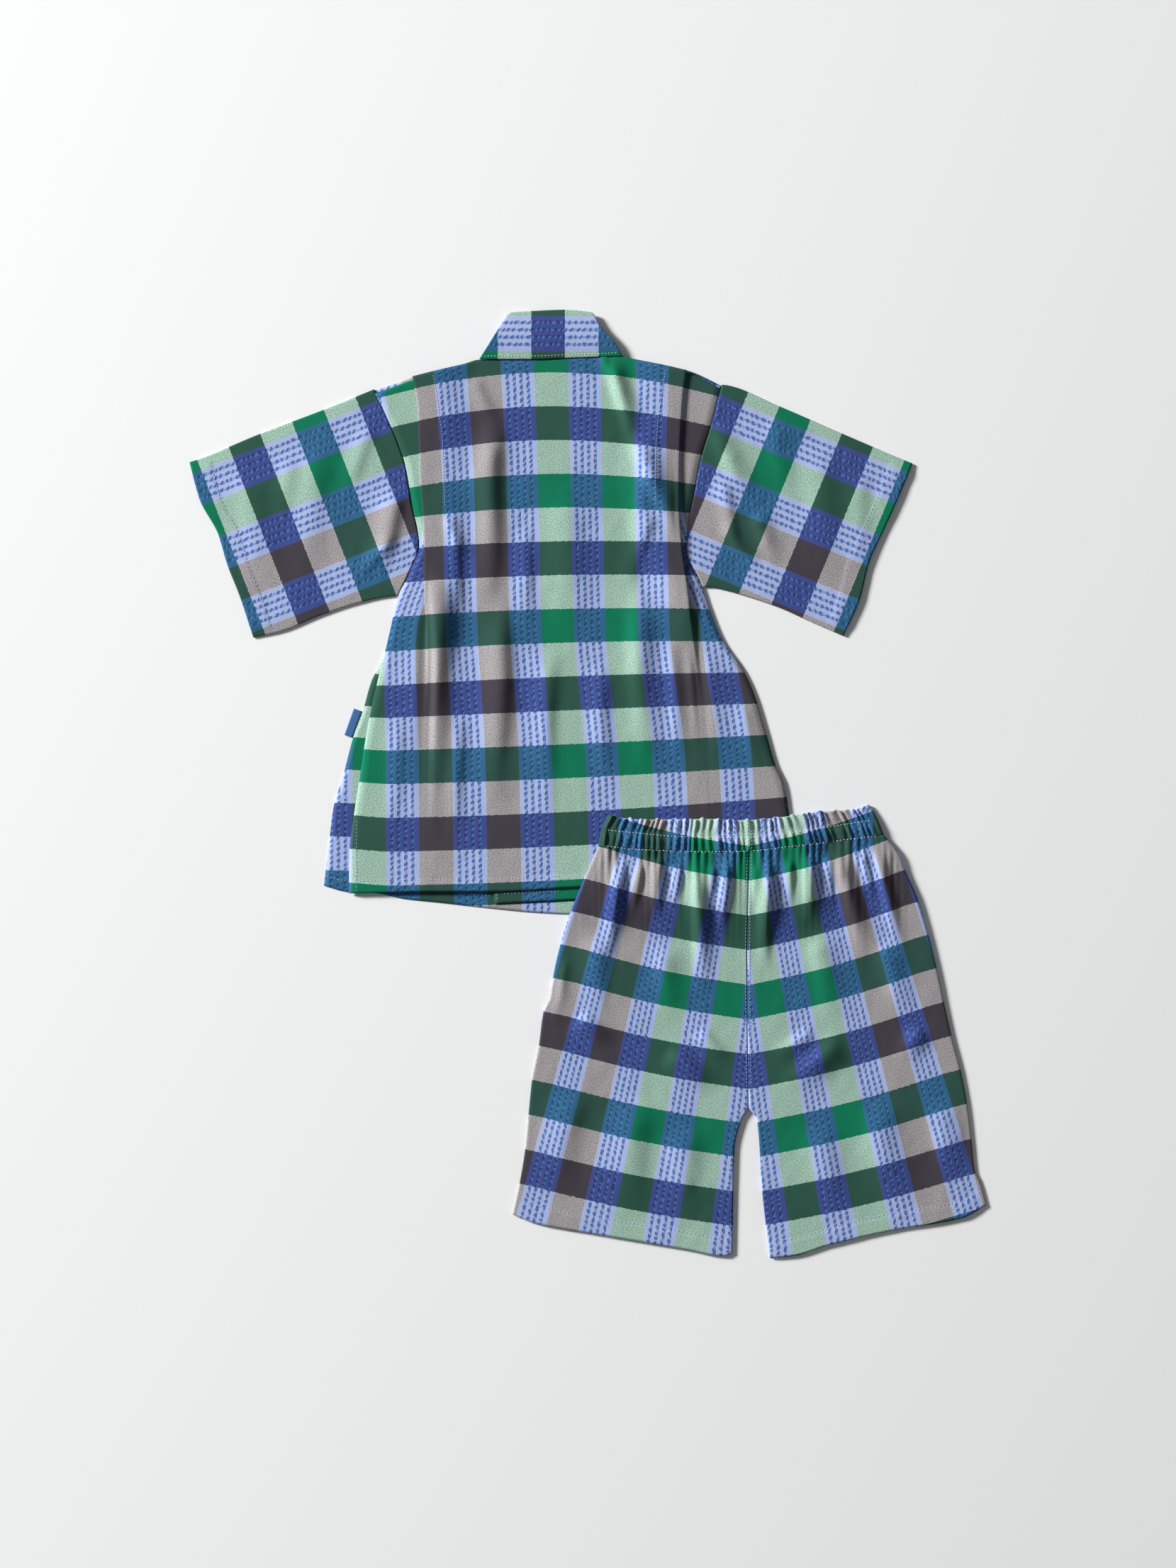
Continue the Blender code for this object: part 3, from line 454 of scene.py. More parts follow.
def seersucker(name):
    """Matt cotton seersucker, with the puckers' shade painted as dark dashes on its blue lines."""
    material = bpy.data.materials.new(name)
    material.use_nodes = True
    tree = material.node_tree
    shader = tree.nodes["Principled BSDF"]
    uv = add(tree, "ShaderNodeUVMap", uv_map="bands").outputs[0]
    split = add(tree, "ShaderNodeSeparateXYZ", [(0, uv)])
    u, v = split.outputs[0], split.outputs[1]

    def uneven(scale, detail=2.0):
        node = add(tree, "ShaderNodeTexNoise", [("Vector", uv)], noise_dimensions="2D")
        node.inputs["Scale"].default_value = scale
        node.inputs["Detail"].default_value = detail
        return node.outputs[0]

    # A yarn wanders a little, so the edge of a band isn't ruled.
    shift = calc(tree, "MULTIPLY_ADD", uneven(9.0, 3.0), 0.05, -0.025)
    across = calc(tree, "ADD", u, shift)
    weft = calc(tree, "FRACT", calc(tree, "DIVIDE", calc(tree, "ADD", v, shift), 4.0))
    warp = calc(tree, "FRACT", calc(tree, "DIVIDE", across, float(WARP_CYCLE)))
    tones = {}
    for kind, codes in CROSSINGS.items():
        tones[kind] = ramp(tree, weft, [(i / 4, colour(code)) for i, code in enumerate(codes)])
    black, white = (0, 0, 0, 1), (1, 1, 1, 1)
    is_charcoal = ramp(tree, warp, [(0.0, black), (0.5, white)])
    is_pucker = ramp(tree, warp, [(i / 8, white if i % 2 else black) for i in range(8)])
    is_pale = ramp(tree, weft, [(i / 4, black if i % 2 else white) for i in range(4)])

    # Four blue lines run in each puckered band, broken up by short slanted dashes of painted crease shade.
    margin = (BAND / LINE_PITCH - 4) / 2
    place = calc(tree, "MULTIPLY_ADD", calc(tree, "FRACT", across), BAND / LINE_PITCH, -margin)
    beat = calc(tree, "MULTIPLY_ADD", v, BAND / PUCKER, calc(tree, "MULTIPLY", place, 0.45))
    beat = calc(tree, "ADD", beat, calc(tree, "MULTIPLY", uneven(3.0), 1.3))
    wave = calc(tree, "SINE", calc(tree, "MULTIPLY", beat, 2 * math.pi))
    off_line = calc(tree, "ABSOLUTE", calc(tree, "SUBTRACT", calc(tree, "FRACT", place), 0.5))
    half = calc(tree, "MULTIPLY_ADD", wave, 0.05, LINE_WIDTH / LINE_PITCH / 2)
    line = calc(tree, "MULTIPLY", calc(tree, "SUBTRACT", half, off_line), 9.0)
    line = calc(tree, "MINIMUM", calc(tree, "MAXIMUM", line, 0.0), 1.0)
    past_first, before_last = calc(tree, "GREATER_THAN", place, 0.0), calc(tree, "LESS_THAN", place, 4.0)
    on_band = calc(tree, "MULTIPLY", past_first, before_last)
    line = calc(tree, "MULTIPLY", line, on_band)
    wander = calc(tree, "MULTIPLY_ADD", uneven(7.0), 2.4, -0.95)
    # Where each pucker turns from the light its line is painted darker, and the bump sinks the same
    # dashes.
    crease_shade = calc(tree, "MULTIPLY", calc(tree, "ADD", wave, wander), 1.8)
    crease_shade = calc(tree, "MINIMUM", calc(tree, "MAXIMUM", crease_shade, 0.0), 1.0)
    line_tone = mixed(tree, crease_shade, tones["pucker line"], tones["pucker line shade"])
    pucker_tone = mixed(tree, line, tones["pucker ground"], line_tone)
    plain_tone = mixed(tree, is_charcoal, tones["green"], tones["charcoal"])
    tone = mixed(tree, is_pucker, plain_tone, pucker_tone)

    # A white weft over a dyed warp looks heathered; one dyed weft over another hardly does.
    speckle = uneven(30.0, 4.0)
    plain = calc(tree, "SUBTRACT", 1.0, is_pucker)
    strength = calc(tree, "MULTIPLY_ADD", calc(tree, "MULTIPLY", is_pale, plain), 1.5, 0.5)
    grain = calc(tree, "MULTIPLY_ADD", calc(tree, "SUBTRACT", speckle, 0.5), strength, 1.0)
    toned = add(tree, "ShaderNodeVectorMath", [(0, tone), (3, grain)], operation="SCALE")
    tree.links.new(toned.outputs[0], shader.inputs["Base Color"])
    shader.inputs["Roughness"].default_value = 0.86  # cotton has no gloss
    shader.inputs["Specular IOR Level"].default_value = 0.1
    shader.inputs["Sheen Weight"].default_value = 0.04  # loose fibre ends, seen at the folds
    shader.inputs["Sheen Roughness"].default_value = 0.5

    # Relief: puckers in the slack bands, and a fine weave everywhere.
    hollow = calc(tree, "MULTIPLY", calc(tree, "MULTIPLY", crease_shade, line), is_pucker)
    relief = calc(tree, "MULTIPLY_ADD", speckle, 0.22, calc(tree, "MULTIPLY", hollow, -1.0))
    bump = add(tree, "ShaderNodeBump", [("Height", relief)])
    bump.inputs["Strength"].default_value = 0.5
    bump.inputs["Distance"].default_value = 0.6 * MM
    tree.links.new(bump.outputs[0], shader.inputs["Normal"])
    return material


checked = seersucker("yarn_dyed_seersucker")
print("the check repeats every %.0f mm across" % (BAND * WARP_CYCLE))

# %% [markdown]
# ## The back, with its shoulder tucks
# A child's jinbei is cut wide at the shoulders and taken in by a sewn tuck on each side, to be let out
# as the child grows. A tuck is one cloth folded into three layers. So the back is one grid whose
# columns turn twice at each tuck, and below the stitching the fold opens until it is only a slope.

# %% Tuck tables and the folded section
# Columns: y, x of the fold edge, depth of the tuck, how far the fold is closed
TUCK_LEFT = (
    (320.0, -139.0, 18.5, 1.0), (279.0, -131.5, 18.5, 1.0), (232.0, -130.0, 18.5, 1.0),
    (208.0, -128.0, 18.0, 1.0), (184.0, -127.0, 14.0, 1.0), (157.0, -127.0, 8.5, 1.0),
    (136.0, -126.7, 4.5, 0.85), (116.0, -126.2, 2.6, 0.5), (96.0, -125.8, 2.2, 0.25),
    (70.0, -126.0, 2.0, 0.1), (40.0, -127.0, 2.0, 0.0), (-90.0, -130.0, 2.0, 0.0),
)
TUCK_RIGHT = (
    (324.0, 78.5, 18.5, 1.0), (286.0, 73.0, 18.5, 1.0), (235.0, 70.5, 18.5, 1.0),
    (210.0, 70.5, 18.0, 1.0), (188.0, 72.0, 14.0, 1.0), (162.0, 75.0, 8.5, 1.0),
    (142.0, 78.0, 4.5, 0.85), (124.0, 81.0, 2.6, 0.5), (106.0, 84.0, 2.2, 0.25), (80.0, 87.0, 2.0, 0.1),
    (50.0, 89.5, 2.0, 0.0), (-80.0, 100.0, 2.0, 0.0),
)
TUCK_SETTLES = 30.0  # inwards of a tuck, the cloth comes down to its own layer over this length
TUCK_STEP = 2.6  # how far the cloth outside a tuck sits below its fold at the shoulder line
SHELF = 12.0  # how far in from its side seam the inner front climbs onto the outer front
BACK_SHELF = 4.5  # how far in from its side seams the back climbs onto the fronts
tuck_left, tuck_right = Line(TUCK_LEFT), Line(TUCK_RIGHT)


def tuck_path(depth, closed, steps):
    """Points up through a tuck's two turns, as (inwards, up, cloth), from the middle of its run."""
    turn = math.pi * max(closed, 0.02)
    bend = math.pi * ROLL
    radius = bend / turn
    straight = max(depth - 2 * ROLL, 0.6)
    t = np.linspace(0, 1, steps + 1)
    lower = np.stack([radius * np.sin(turn * t), radius * (1 - np.cos(turn * t)), bend * t])
    foot = lower[:, -1] + np.array([straight * math.cos(turn), straight * math.sin(turn), straight])
    angle = turn * (1 - t)
    upper = np.stack([
        radius * (math.sin(turn) - np.sin(angle)), radius * (np.cos(angle) - math.cos(turn)), bend * t,
    ])
    path = np.hstack([lower, upper + foot[:, None]])
    path[0] -= (path[0, 0] + path[0, -1]) / 2
    return path


print("a closed tuck stands %.1f mm above the cloth beside it" % tuck_path(18.5, 1.0, 5)[1, -1])

# %% [markdown]
# Across, the bands are a little narrower where the cloth is drawn together. Down, they droop towards
# the shoulders, and lower down they rise to the right.

# %% Where the check falls on the back
# Columns: y, x of the middle of the centre band, width of a band
BACK_BANDS = Line((
    (330, -28.8, 26.2), (229, -26.0, 24.8), (121, -23.5, 24.8), (21, -15.0, 25.8), (-80, -12.0, 26.3),
))
FIRST_ROW = 319.0  # y of the first band edge at the centre
ROW = 26.2
# Columns: y, and how far a band edge has dropped 100 mm out from the centre: on both sides, and by tilt
ROW_DROOP = Line((
    (330, 12.0, 0.0), (293, 11.0, 0.0), (235, 8.0, -1.0), (180, 2.5, -2.0), (130, 2.0, -2.4),
    (75, 0.8, -4.0), (30, -0.5, -4.3), (-20, -1.2, -5.0), (-80, -1.2, -5.0),
))


def back_check(x, y, hidden=0.0):
    """Bands across and down for a place on the back. hidden is cloth lost in a tuck, in millimetres."""
    centre, width = BACK_BANDS(y, 0), BACK_BANDS(y, 1)
    u = (x - centre + hidden) / width + 0.5
    out = (x - centre) / 100.0
    droop = ROW_DROOP(y, 0) * out ** 2 + ROW_DROOP(y, 1) * out - 3.0 * eased((-150.0 - x) / 45.0)
    return u, (FIRST_ROW - y - droop) / ROW


print("rows of the check from neck to hem: %.1f" % (back_check(0.0, -80.0)[1] - back_check(0.0, 330.0)[1]))

# %% [markdown]
# Each row of the back's grid starts as three runs: the cloth outside a tuck, the tuck's own folded
# section, and the wide middle. The check carries on through the fold, so the bands on both sides of a
# tuck don't meet, as on the real one. Folds lift only cloth that is free to move, away from seams.

# %% Build the back
OUTSIDE, TURN, INSIDE, BACK_ROWS = 22, 5, 118, 215  # grid steps: past a tuck, per turn, between, down
FOLD_GAIN = 1.4  # the back's folds stand this much higher than the table says
BESIDE_TUCK, UNDER_TUCK, BESIDE_SEAM = 6.0, 8.0, 5.0  # over these lengths the cloth becomes free to fold


def tuck_section(tuck, way, side, y):
    """The cloth from a side seam through its tuck: places across, heights, and cloth hidden so far."""
    fold, depth, closed = (float(tuck(y, column)) for column in range(3))
    path = tuck_path(depth, closed, TURN)
    x = fold + way * depth / 2 + way * path[0]
    flat = np.linspace(side, x[0], OUTSIDE, endpoint=False)
    taken = x[-1] - x - way * (path[2, -1] - path[2])
    up = np.concatenate([np.zeros(OUTSIDE), path[1]])
    return np.concatenate([flat, x]), up, np.concatenate([np.full(OUTSIDE, taken[0]), taken]), depth


def back_row(down):
    """One row of the back's grid: x, y, z, and bands across and down."""
    left, right = back_panel.row(down)
    lx, lup, ltaken, ldepth = tuck_section(tuck_left, 1, left, back_panel.height(0.0, down))
    rx, rup, rtaken, rdepth = tuck_section(tuck_right, -1, right, back_panel.height(1.0, down))
    mid = np.linspace(lx[-1], rx[-1], INSIDE + 1)[1:-1]
    mid_up = lup[-1] * (1 - eased((mid - lx[-1] - ldepth) / TUCK_SETTLES))
    mid_up = mid_up + rup[-1] * (1 - eased((rx[-1] - rdepth - mid) / TUCK_SETTLES))
    x = np.concatenate([lx, mid, rx[::-1]])
    up = np.concatenate([lup, mid_up, rup[::-1]])
    hidden = np.concatenate([ltaken, np.zeros(len(mid)), rtaken[::-1]])
    y = back_panel.height((x - left) / (right - left), down)
    beyond = np.ones(len(x))
    beyond[OUTSIDE + TURN:-(OUTSIDE + TURN)] = 0.0
    y = y - TUCK_STEP * beyond * (1 - eased(down / 0.2))
    base = FLOOR + LAYER + LAYER * eased((x - left) / BACK_SHELF) * eased((right - x) / BACK_SHELF)
    middle = np.concatenate([np.zeros(len(lx)), np.ones(len(mid)), np.zeros(len(rx))])
    middle *= eased((x - lx[-1]) / BESIDE_TUCK) * eased((rx[-1] - x) / BESIDE_TUCK)
    outer = eased((lx[OUTSIDE] - x) / UNDER_TUCK) * eased((x - left) / BESIDE_SEAM)
    outer = outer + eased((x - rx[OUTSIDE]) / UNDER_TUCK) * eased((right - x) / BESIDE_SEAM)
    lift = np.maximum(middle, outer * 0.6) * (FOLD_GAIN * fold_height(BACK_FOLDS, x, y) + slack(x, y, 1.0))
    z = base + up + lift + hem_step(y - back_panel.lower_line(x), BACK_TURNED)
    return (x, y, z) + back_check(x, y, hidden)


rows = [back_row(row / BACK_ROWS) for row in range(BACK_ROWS + 1)]
back = cloth_shell("jacket_back", *map(np.array, zip(*rows)), checked)
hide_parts("back")

# %% [markdown]
# ## The two fronts
# A jinbei closes left over right, so face down the left front lies lowest. Only its edges show, past
# the left side seam and below the back's hem. Both fronts are flat shells in the same check.

# %% Build the fronts
def front_shell(name, panel, shelf=0.0):
    """A flat front. With a shelf, it climbs onto the cloth below that far in from its right side."""
    across, down = grid_shares(60, 215)
    x, y = panel.point(across, down)
    z = FLOOR + (LAYER * eased((panel.row(down)[1] - x) / shelf) if shelf else 0 * x)
    u, v = back_check(x, y)
    return cloth_shell(name, x, y, z, u, v + 0.35, checked)


left_end = NECK_LEFT[0] + BAND_SLOPE * (NECK_LEFT[1] - BAND_LEFT_END)
front_left_panel = Panel(
    (BACK_LEFT[0][::-1], (-122.0, 319.5), NECK_LEFT), FRONT_LEFT_HEM, FRONT_LEFT_SIDE,
    (NECK_LEFT[::-1], (BAND_LEFT_END, left_end), (BAND_LEFT_END - 2, FRONT_LEFT_EDGE),
     (FRONT_LEFT_HEM[-1][1], FRONT_LEFT_EDGE)), straight=(False, True),
)
front_left = front_shell("front_outer", front_left_panel)
right_end = NECK_RIGHT[0] - BAND_SLOPE * (NECK_RIGHT[1] - BAND_RIGHT_END)
front_right_panel = Panel(
    (NECK_RIGHT, (78.0, 320.5), BACK_RIGHT[0][::-1]), FRONT_RIGHT_HEM,
    (NECK_RIGHT[::-1], (BAND_RIGHT_END, right_end), (BAND_RIGHT_END - 2, FRONT_RIGHT_EDGE),
     (FRONT_RIGHT_HEM[0][1], FRONT_RIGHT_EDGE)),
    BACK_RIGHT[:-1] + ((-80.0, 160.5),), straight=(True, False),
)
front_right = front_shell("front_inner", front_right_panel, shelf=SHELF)
for piece, node in ((front_left, "front_left"), (front_right, "front_right")):
    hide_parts(node)

# %% [markdown]
# ## Sleeves
# Each sleeve is a straight tube, cut with the warp along the arm, so its puckered bands run towards the
# cuff. The tube lies flat, with a rounded fold along the top and under the arm, and it is open at the
# cuff.

# %% Build the sleeves
CUFF_BAND = 6.6  # width of the part band that the cuff cuts off
TOP_BAND = 7.7  # width of the part band at the fold on top
SLEEVE_LOFT = 0.3  # air in the tube, between its ends


def sleeve_check(x, y, cuff_x, cuff_y, along_x, along_y, way):
    """Bands counted from the cuff's upper corner: across the arm, and along it."""
    along = (x - cuff_x) * along_x + (y - cuff_y) * along_y
    below = way * ((x - cuff_x) * along_y - (y - cuff_y) * along_x)
    return (below - TOP_BAND) / BAND + 1.0, (along - CUFF_BAND) / BAND


def sleeve_shell(name, panel, folds, corner, direction, way, seed):
    """A tube laid flat: the upper wall, the fold under the arm, the lower wall, and the fold on top."""
    lengths, over, turn = 96, 84, 6
    t = np.linspace(0, 1, over + 1)
    bend = np.pi * np.arange(1, turn) / turn
    low = np.linspace(1, 0, over // 2 + 1)
    down = np.concatenate([t, np.ones(turn - 1), low, np.zeros(turn - 1), t[:1]])
    past = np.concatenate([0 * t, ROLL * np.sin(bend), 0 * low, -ROLL * np.sin(bend), t[:1]])
    level = np.concatenate([FLOOR + LAYER + 0 * t, FLOOR + ROLL + ROLL * np.cos(bend), FLOOR + 0 * low,
                            FLOOR + ROLL - ROLL * np.cos(bend), [FLOOR + LAYER]])
    lift = np.concatenate([eased(t / 0.06) * eased((1 - t) / 0.06), np.zeros(len(down) - len(t))])
    across, down = np.meshgrid(np.linspace(0, 1, lengths + 1), down)
    past, level, lift = (np.repeat(a[:, None], lengths + 1, axis=1) for a in (past, level, lift))
    depth = panel.height(across, 0.0) - panel.height(across, 1.0)
    x, y = panel.point(across, down + past / depth)
    from_cuff = np.abs(x - (panel.left_line if way > 0 else panel.right_line)(y))
    rise = fold_height(folds, x, y) + slack(x, y, seed) + SLEEVE_LOFT + hem_step(from_cuff, CUFF_TURNED)
    z = level + lift * rise
    u, v = sleeve_check(x, y, *corner, *direction, way)
    return cloth_shell(name, x, y, z, u, v, checked, tube=True)


sleeve_left = sleeve_shell(
    "sleeve_left_cloth", Panel(SLEEVE_LEFT_TOP, SLEEVE_LEFT_UNDER, CUFF_LEFT, BACK_LEFT),
    SLEEVE_LEFT_FOLDS, (-309.0, 248.5), (0.931, 0.364), 1, 3.0,
)
sleeve_right = sleeve_shell(
    "sleeve_right_cloth", Panel(SLEEVE_RIGHT_TOP, SLEEVE_RIGHT_UNDER, BACK_RIGHT, CUFF_RIGHT),
    SLEEVE_RIGHT_FOLDS, (251.5, 248.5), (-0.924, 0.381), -1, 5.0,
)
for piece, node in ((sleeve_left, "sleeve_left"), (sleeve_right, "sleeve_right")):
    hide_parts(node)

# %% [markdown]
# ## Collar
# The collar is a folded band. Across the back of the neck it stands above the shoulders, and at each
# side it turns under and runs down a front. It is cut with the warp along it.

# %% Build the collar
COLLAR_BAND_EDGE = (-69.9, 362.5)  # where a band edge each way falls on the collar
COLLAR_BANDS = (26.0, 27.5)  # their widths along the collar and down it
COLLAR_PAD, COLLAR_DOME = 1.0, 1.5  # height of its folded layers, and of the roll between its edges
DOUBLED = 1.6  # thickness of the folded collar


def collar_check(x, y):
    """On the collar the warp runs from left to right, so u counts bands down and v along it."""
    edge_x, edge_y = COLLAR_BAND_EDGE
    along, down = COLLAR_BANDS
    return 1.0 + (edge_y - y) / down, (x - edge_x) / along


across, down = grid_shares(90, 34)
collar_panel = Panel(COLLAR_TOP, COLLAR_SEAM, COLLAR_FOLD_LEFT, COLLAR_FOLD_RIGHT)
x, y = collar_panel.point(across, down)
z = 2 * LAYER + COLLAR_PAD + COLLAR_DOME * np.sin(np.pi * (1 - down)) + 0.5 * slack(x, y, 9.0)
u, v = collar_check(x, y)
collar = cloth_shell("collar_neck", x, y, z, u, v, checked, thickness=DOUBLED)
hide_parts("collar_back")


def band_shell(name, start, fold, end, way, level):
    """The collar's run down a front, from its turn at the neck to its end. way is 1 on the left side."""
    seam_end = start[0] + way * BAND_SLOPE * (start[1] - end)
    tip_y, tip_x = fold[0]
    sewn = tuple(fold) + ((end, seam_end),)
    wide = way * BAND_ACROSS
    free = ((tip_y, tip_x + way * 3.0), (start[1], start[0] + wide), (end, seam_end + wide))
    tip = ((tip_x, tip_y), (tip_x + way * 3.0, tip_y))
    foot = ((seam_end, end + 1.0), (seam_end + wide, end + 1.0))
    if way > 0:
        panel = Panel(tip, foot, sewn, free, straight=(True, True))
    else:
        panel = Panel(tip[::-1], foot[::-1], free, sewn, straight=(True, True))
    across, down = grid_shares(10, 60)
    x, y = panel.point(across, down)
    return cloth_shell(name, x, y, level + 0 * x, across * 1.45 + 0.9, down * 9.0, checked)


band_left = band_shell("collar_run_left", NECK_LEFT, COLLAR_FOLD_LEFT, BAND_LEFT_END, 1, FLOOR)
band_right = band_shell(
    "collar_run_right", NECK_RIGHT, COLLAR_FOLD_RIGHT, BAND_RIGHT_END, -1, FLOOR + LAYER)
for piece, node in ((band_left, "collar_left"), (band_right, "collar_right")):
    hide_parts(node)

# %% [markdown]
# ## Shorts
# The shorts lie over the jacket's corner, so their underside climbs onto it and slides off beside it.
# Each leg is one cloth that wraps from the centre back round the side to the centre front. The bands
# fan out from the waist, where the gathers squeeze them together.

# %% How the shorts lie on the jacket
JACKET_TOP = 3 * LAYER  # thickness of the jacket under the shorts
JACKET_SIDE, JACKET_HEM = (164.0, 31.0), (-84.0, 41.0)  # where the shorts slide off it, and over what run
# Columns: share of the way down a leg, and how far its two walls lie apart
LEG_LOFT = Line(((0.0, 3.8), (0.3, 2.6), (0.8, 1.6), (1.0, 1.3)))
CENTRE_SEAM = 124.9
# For each leg, at the waist and at the hem: four bands' inner edge and outer edge, and the rows' slope
LEG_CHECK = {
    1: ((117.2, 67.1), (42.4, -36.9), (0.225, 0.187)),
    -1: ((131.5, 184.8), (203.0, 290.4), (0.295, 0.228)),
}
WAIST_Y, LEG_LENGTH = -50.0, 310.0
FIRST_LEG_ROW = -74.8  # y of the first band edge at the centre seam
LEG_ROW = 26.95  # width of a band down the leg
ROW_SAG = 3.0  # how far the middle of a row hangs below a straight line


def over_jacket(x, y):
    """How high the jacket below lifts the shorts."""
    on_side = 1 - eased((x - JACKET_SIDE[0]) / JACKET_SIDE[1])
    return JACKET_TOP * on_side * (1 - eased((JACKET_HEM[0] - y) / JACKET_HEM[1]))


def shorts_check(x, y, way):
    """Bands across and down on a leg. way is 1 on the left leg and -1 on the right."""
    down = np.clip((WAIST_Y - y) / LEG_LENGTH, 0.0, 1.0)
    near, far, slope = (between(waist, hem, down) for waist, hem in LEG_CHECK[way])
    out = np.abs(x - CENTRE_SEAM)
    sag = ROW_SAG * np.sin(np.pi * np.clip(out / (110 + 70 * down), 0.0, 1.0))
    return 1 + 4 * (x - near) / (far - near), (FIRST_LEG_ROW - y + slope * out - sag) / LEG_ROW


print("a leg's walls: %.1f mm apart at the waist, %.1f at the hem" % (LEG_LOFT(0.0), LEG_LOFT(1.0)))

# %% [markdown]
# A leg is one piece of cloth that turns under at the side. Its grid runs across the upper wall, round
# the turn and back below, and both ends of a row stop at the centre seam. Gathers start at the
# waistband's lower stitching and fade within a few centimetres.

# %% Build the legs
STRAND = 5.6  # from one gather to the next below the waistband
GATHER_HEIGHT, GATHER_RUN = 2.0, 0.08  # how high they stand, and how fast they fade down the leg
LEG_FOLD_GAIN = 1.6  # the shorts' folds stand this much higher than the table says


def leg_shell(name, inside, side, hem, way, seed):
    """A leg as one wrapped sheet. way is 1 on the left leg and -1 on the right."""
    waist = tuple(row for row in WAIST_SEAM if (row[0] - WAIST_SEAM[4][0]) * way <= 0)
    edges = (side, inside) if way > 0 else (inside, side)
    panel = Panel(waist, hem, *edges, seam=0.05)
    over, turn, under, rows = 100, 6, 40, 176
    t, low = np.linspace(0, 1, over + 1), np.linspace(0, 1, under + 1)
    bend = np.pi * np.arange(1, turn) / turn
    columns = over + turn + under + 1
    down = np.repeat(np.linspace(0, 1, rows + 1)[:, None], columns, axis=1)
    rise = LEG_LOFT(down)
    left, right = panel.row(down)
    wide = right - left
    inset = (rise / 2 + CLOTH / 2) / wide
    a, b = over + 1, over + turn  # the upper wall ends before column a, and the lower wall starts at b
    top = 1 - (1 - inset[:, :a]) * t
    turned = inset[:, a:b] - rise[:, a:b] / 2 * np.sin(bend) / wide[:, a:b]
    lower = inset[:, b:] + (1 - inset[:, b:]) * low
    share = np.hstack([top, turned, lower])
    up = np.hstack([rise[:, :a], rise[:, a:b] * (1 + np.cos(bend)) / 2, 0 * lower])
    x, y = panel.point(share if way > 0 else 1 - share, down)
    free = np.zeros(x.shape)
    free[:, :a] = eased((top - inset[:, :a]) / 0.05) * eased((1 - top) / 0.03)
    strand = 2 * np.pi * (x - 8.0) / STRAND + 1.4 * np.sin(x / 9.0)
    unequal = 0.6 + 0.4 * np.sin(x / 5.3 + seed)
    gather = GATHER_HEIGHT * np.exp(-down / GATHER_RUN) * unequal * (1 - np.cos(strand)) / 2
    lift = LEG_FOLD_GAIN * fold_height(SHORTS_FOLDS, x, y) + slack(x, y, seed) + gather
    lift = lift + hem_step(y - panel.lower_line(x), LEG_TURNED)
    z = FLOOR + over_jacket(x, y) + up + free * lift
    u, v = shorts_check(x, y, way)
    return cloth_shell(name, x, y, z, u, v, checked)


leg_left = leg_shell("shorts_leg_left", LEG_LEFT_INSIDE, LEG_LEFT_SIDE, LEG_LEFT_HEM, 1, 11.0)
leg_right = leg_shell("shorts_leg_right", LEG_RIGHT_INSIDE, LEG_RIGHT_SIDE, LEG_RIGHT_HEM, -1, 13.0)
for piece, node in ((leg_left, "shorts_left"), (leg_right, "shorts_right")):
    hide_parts(node)

# %% [markdown]
# ## Waistband
# Elastic is drawn through a casing between two rows of stitching, and the cloth above it stands as a
# ruffle. The forty gathers are pinched at both rows and swell between them, so their height follows a
# short table.

# %% Build the waistband
WAIST_GATHERS = 40
# Columns: share of the way down, height of the gathers, height of the band above its underside
WAIST_SECTIONS = Line((
    (0.0, 2.5, 3.2), (0.2, 2.2, 3.4), (0.45, 0.9, 3.6), (0.72, 2.1, 4.0), (1.0, 1.3, 3.7),
))


def waist_height(x, y, share, down):
    """Height of the gathered cloth; the gathers are uneven and wander a little as they run down."""
    wander = 0.006 * np.sin(40 * share) + 0.0032 * np.sin(97 * share + 1.0)
    wander = wander + 0.0018 * np.sin(5 * down + 30 * share)
    phase = 2 * np.pi * WAIST_GATHERS * (share + wander)
    swell = WAIST_SECTIONS(down, 0) * (0.68 + 0.32 * np.sin(phase * 0.37 + 1.3))
    return FLOOR + over_jacket(x, y) + WAIST_SECTIONS(down, 1) + swell * (1 - np.cos(phase)) / 2


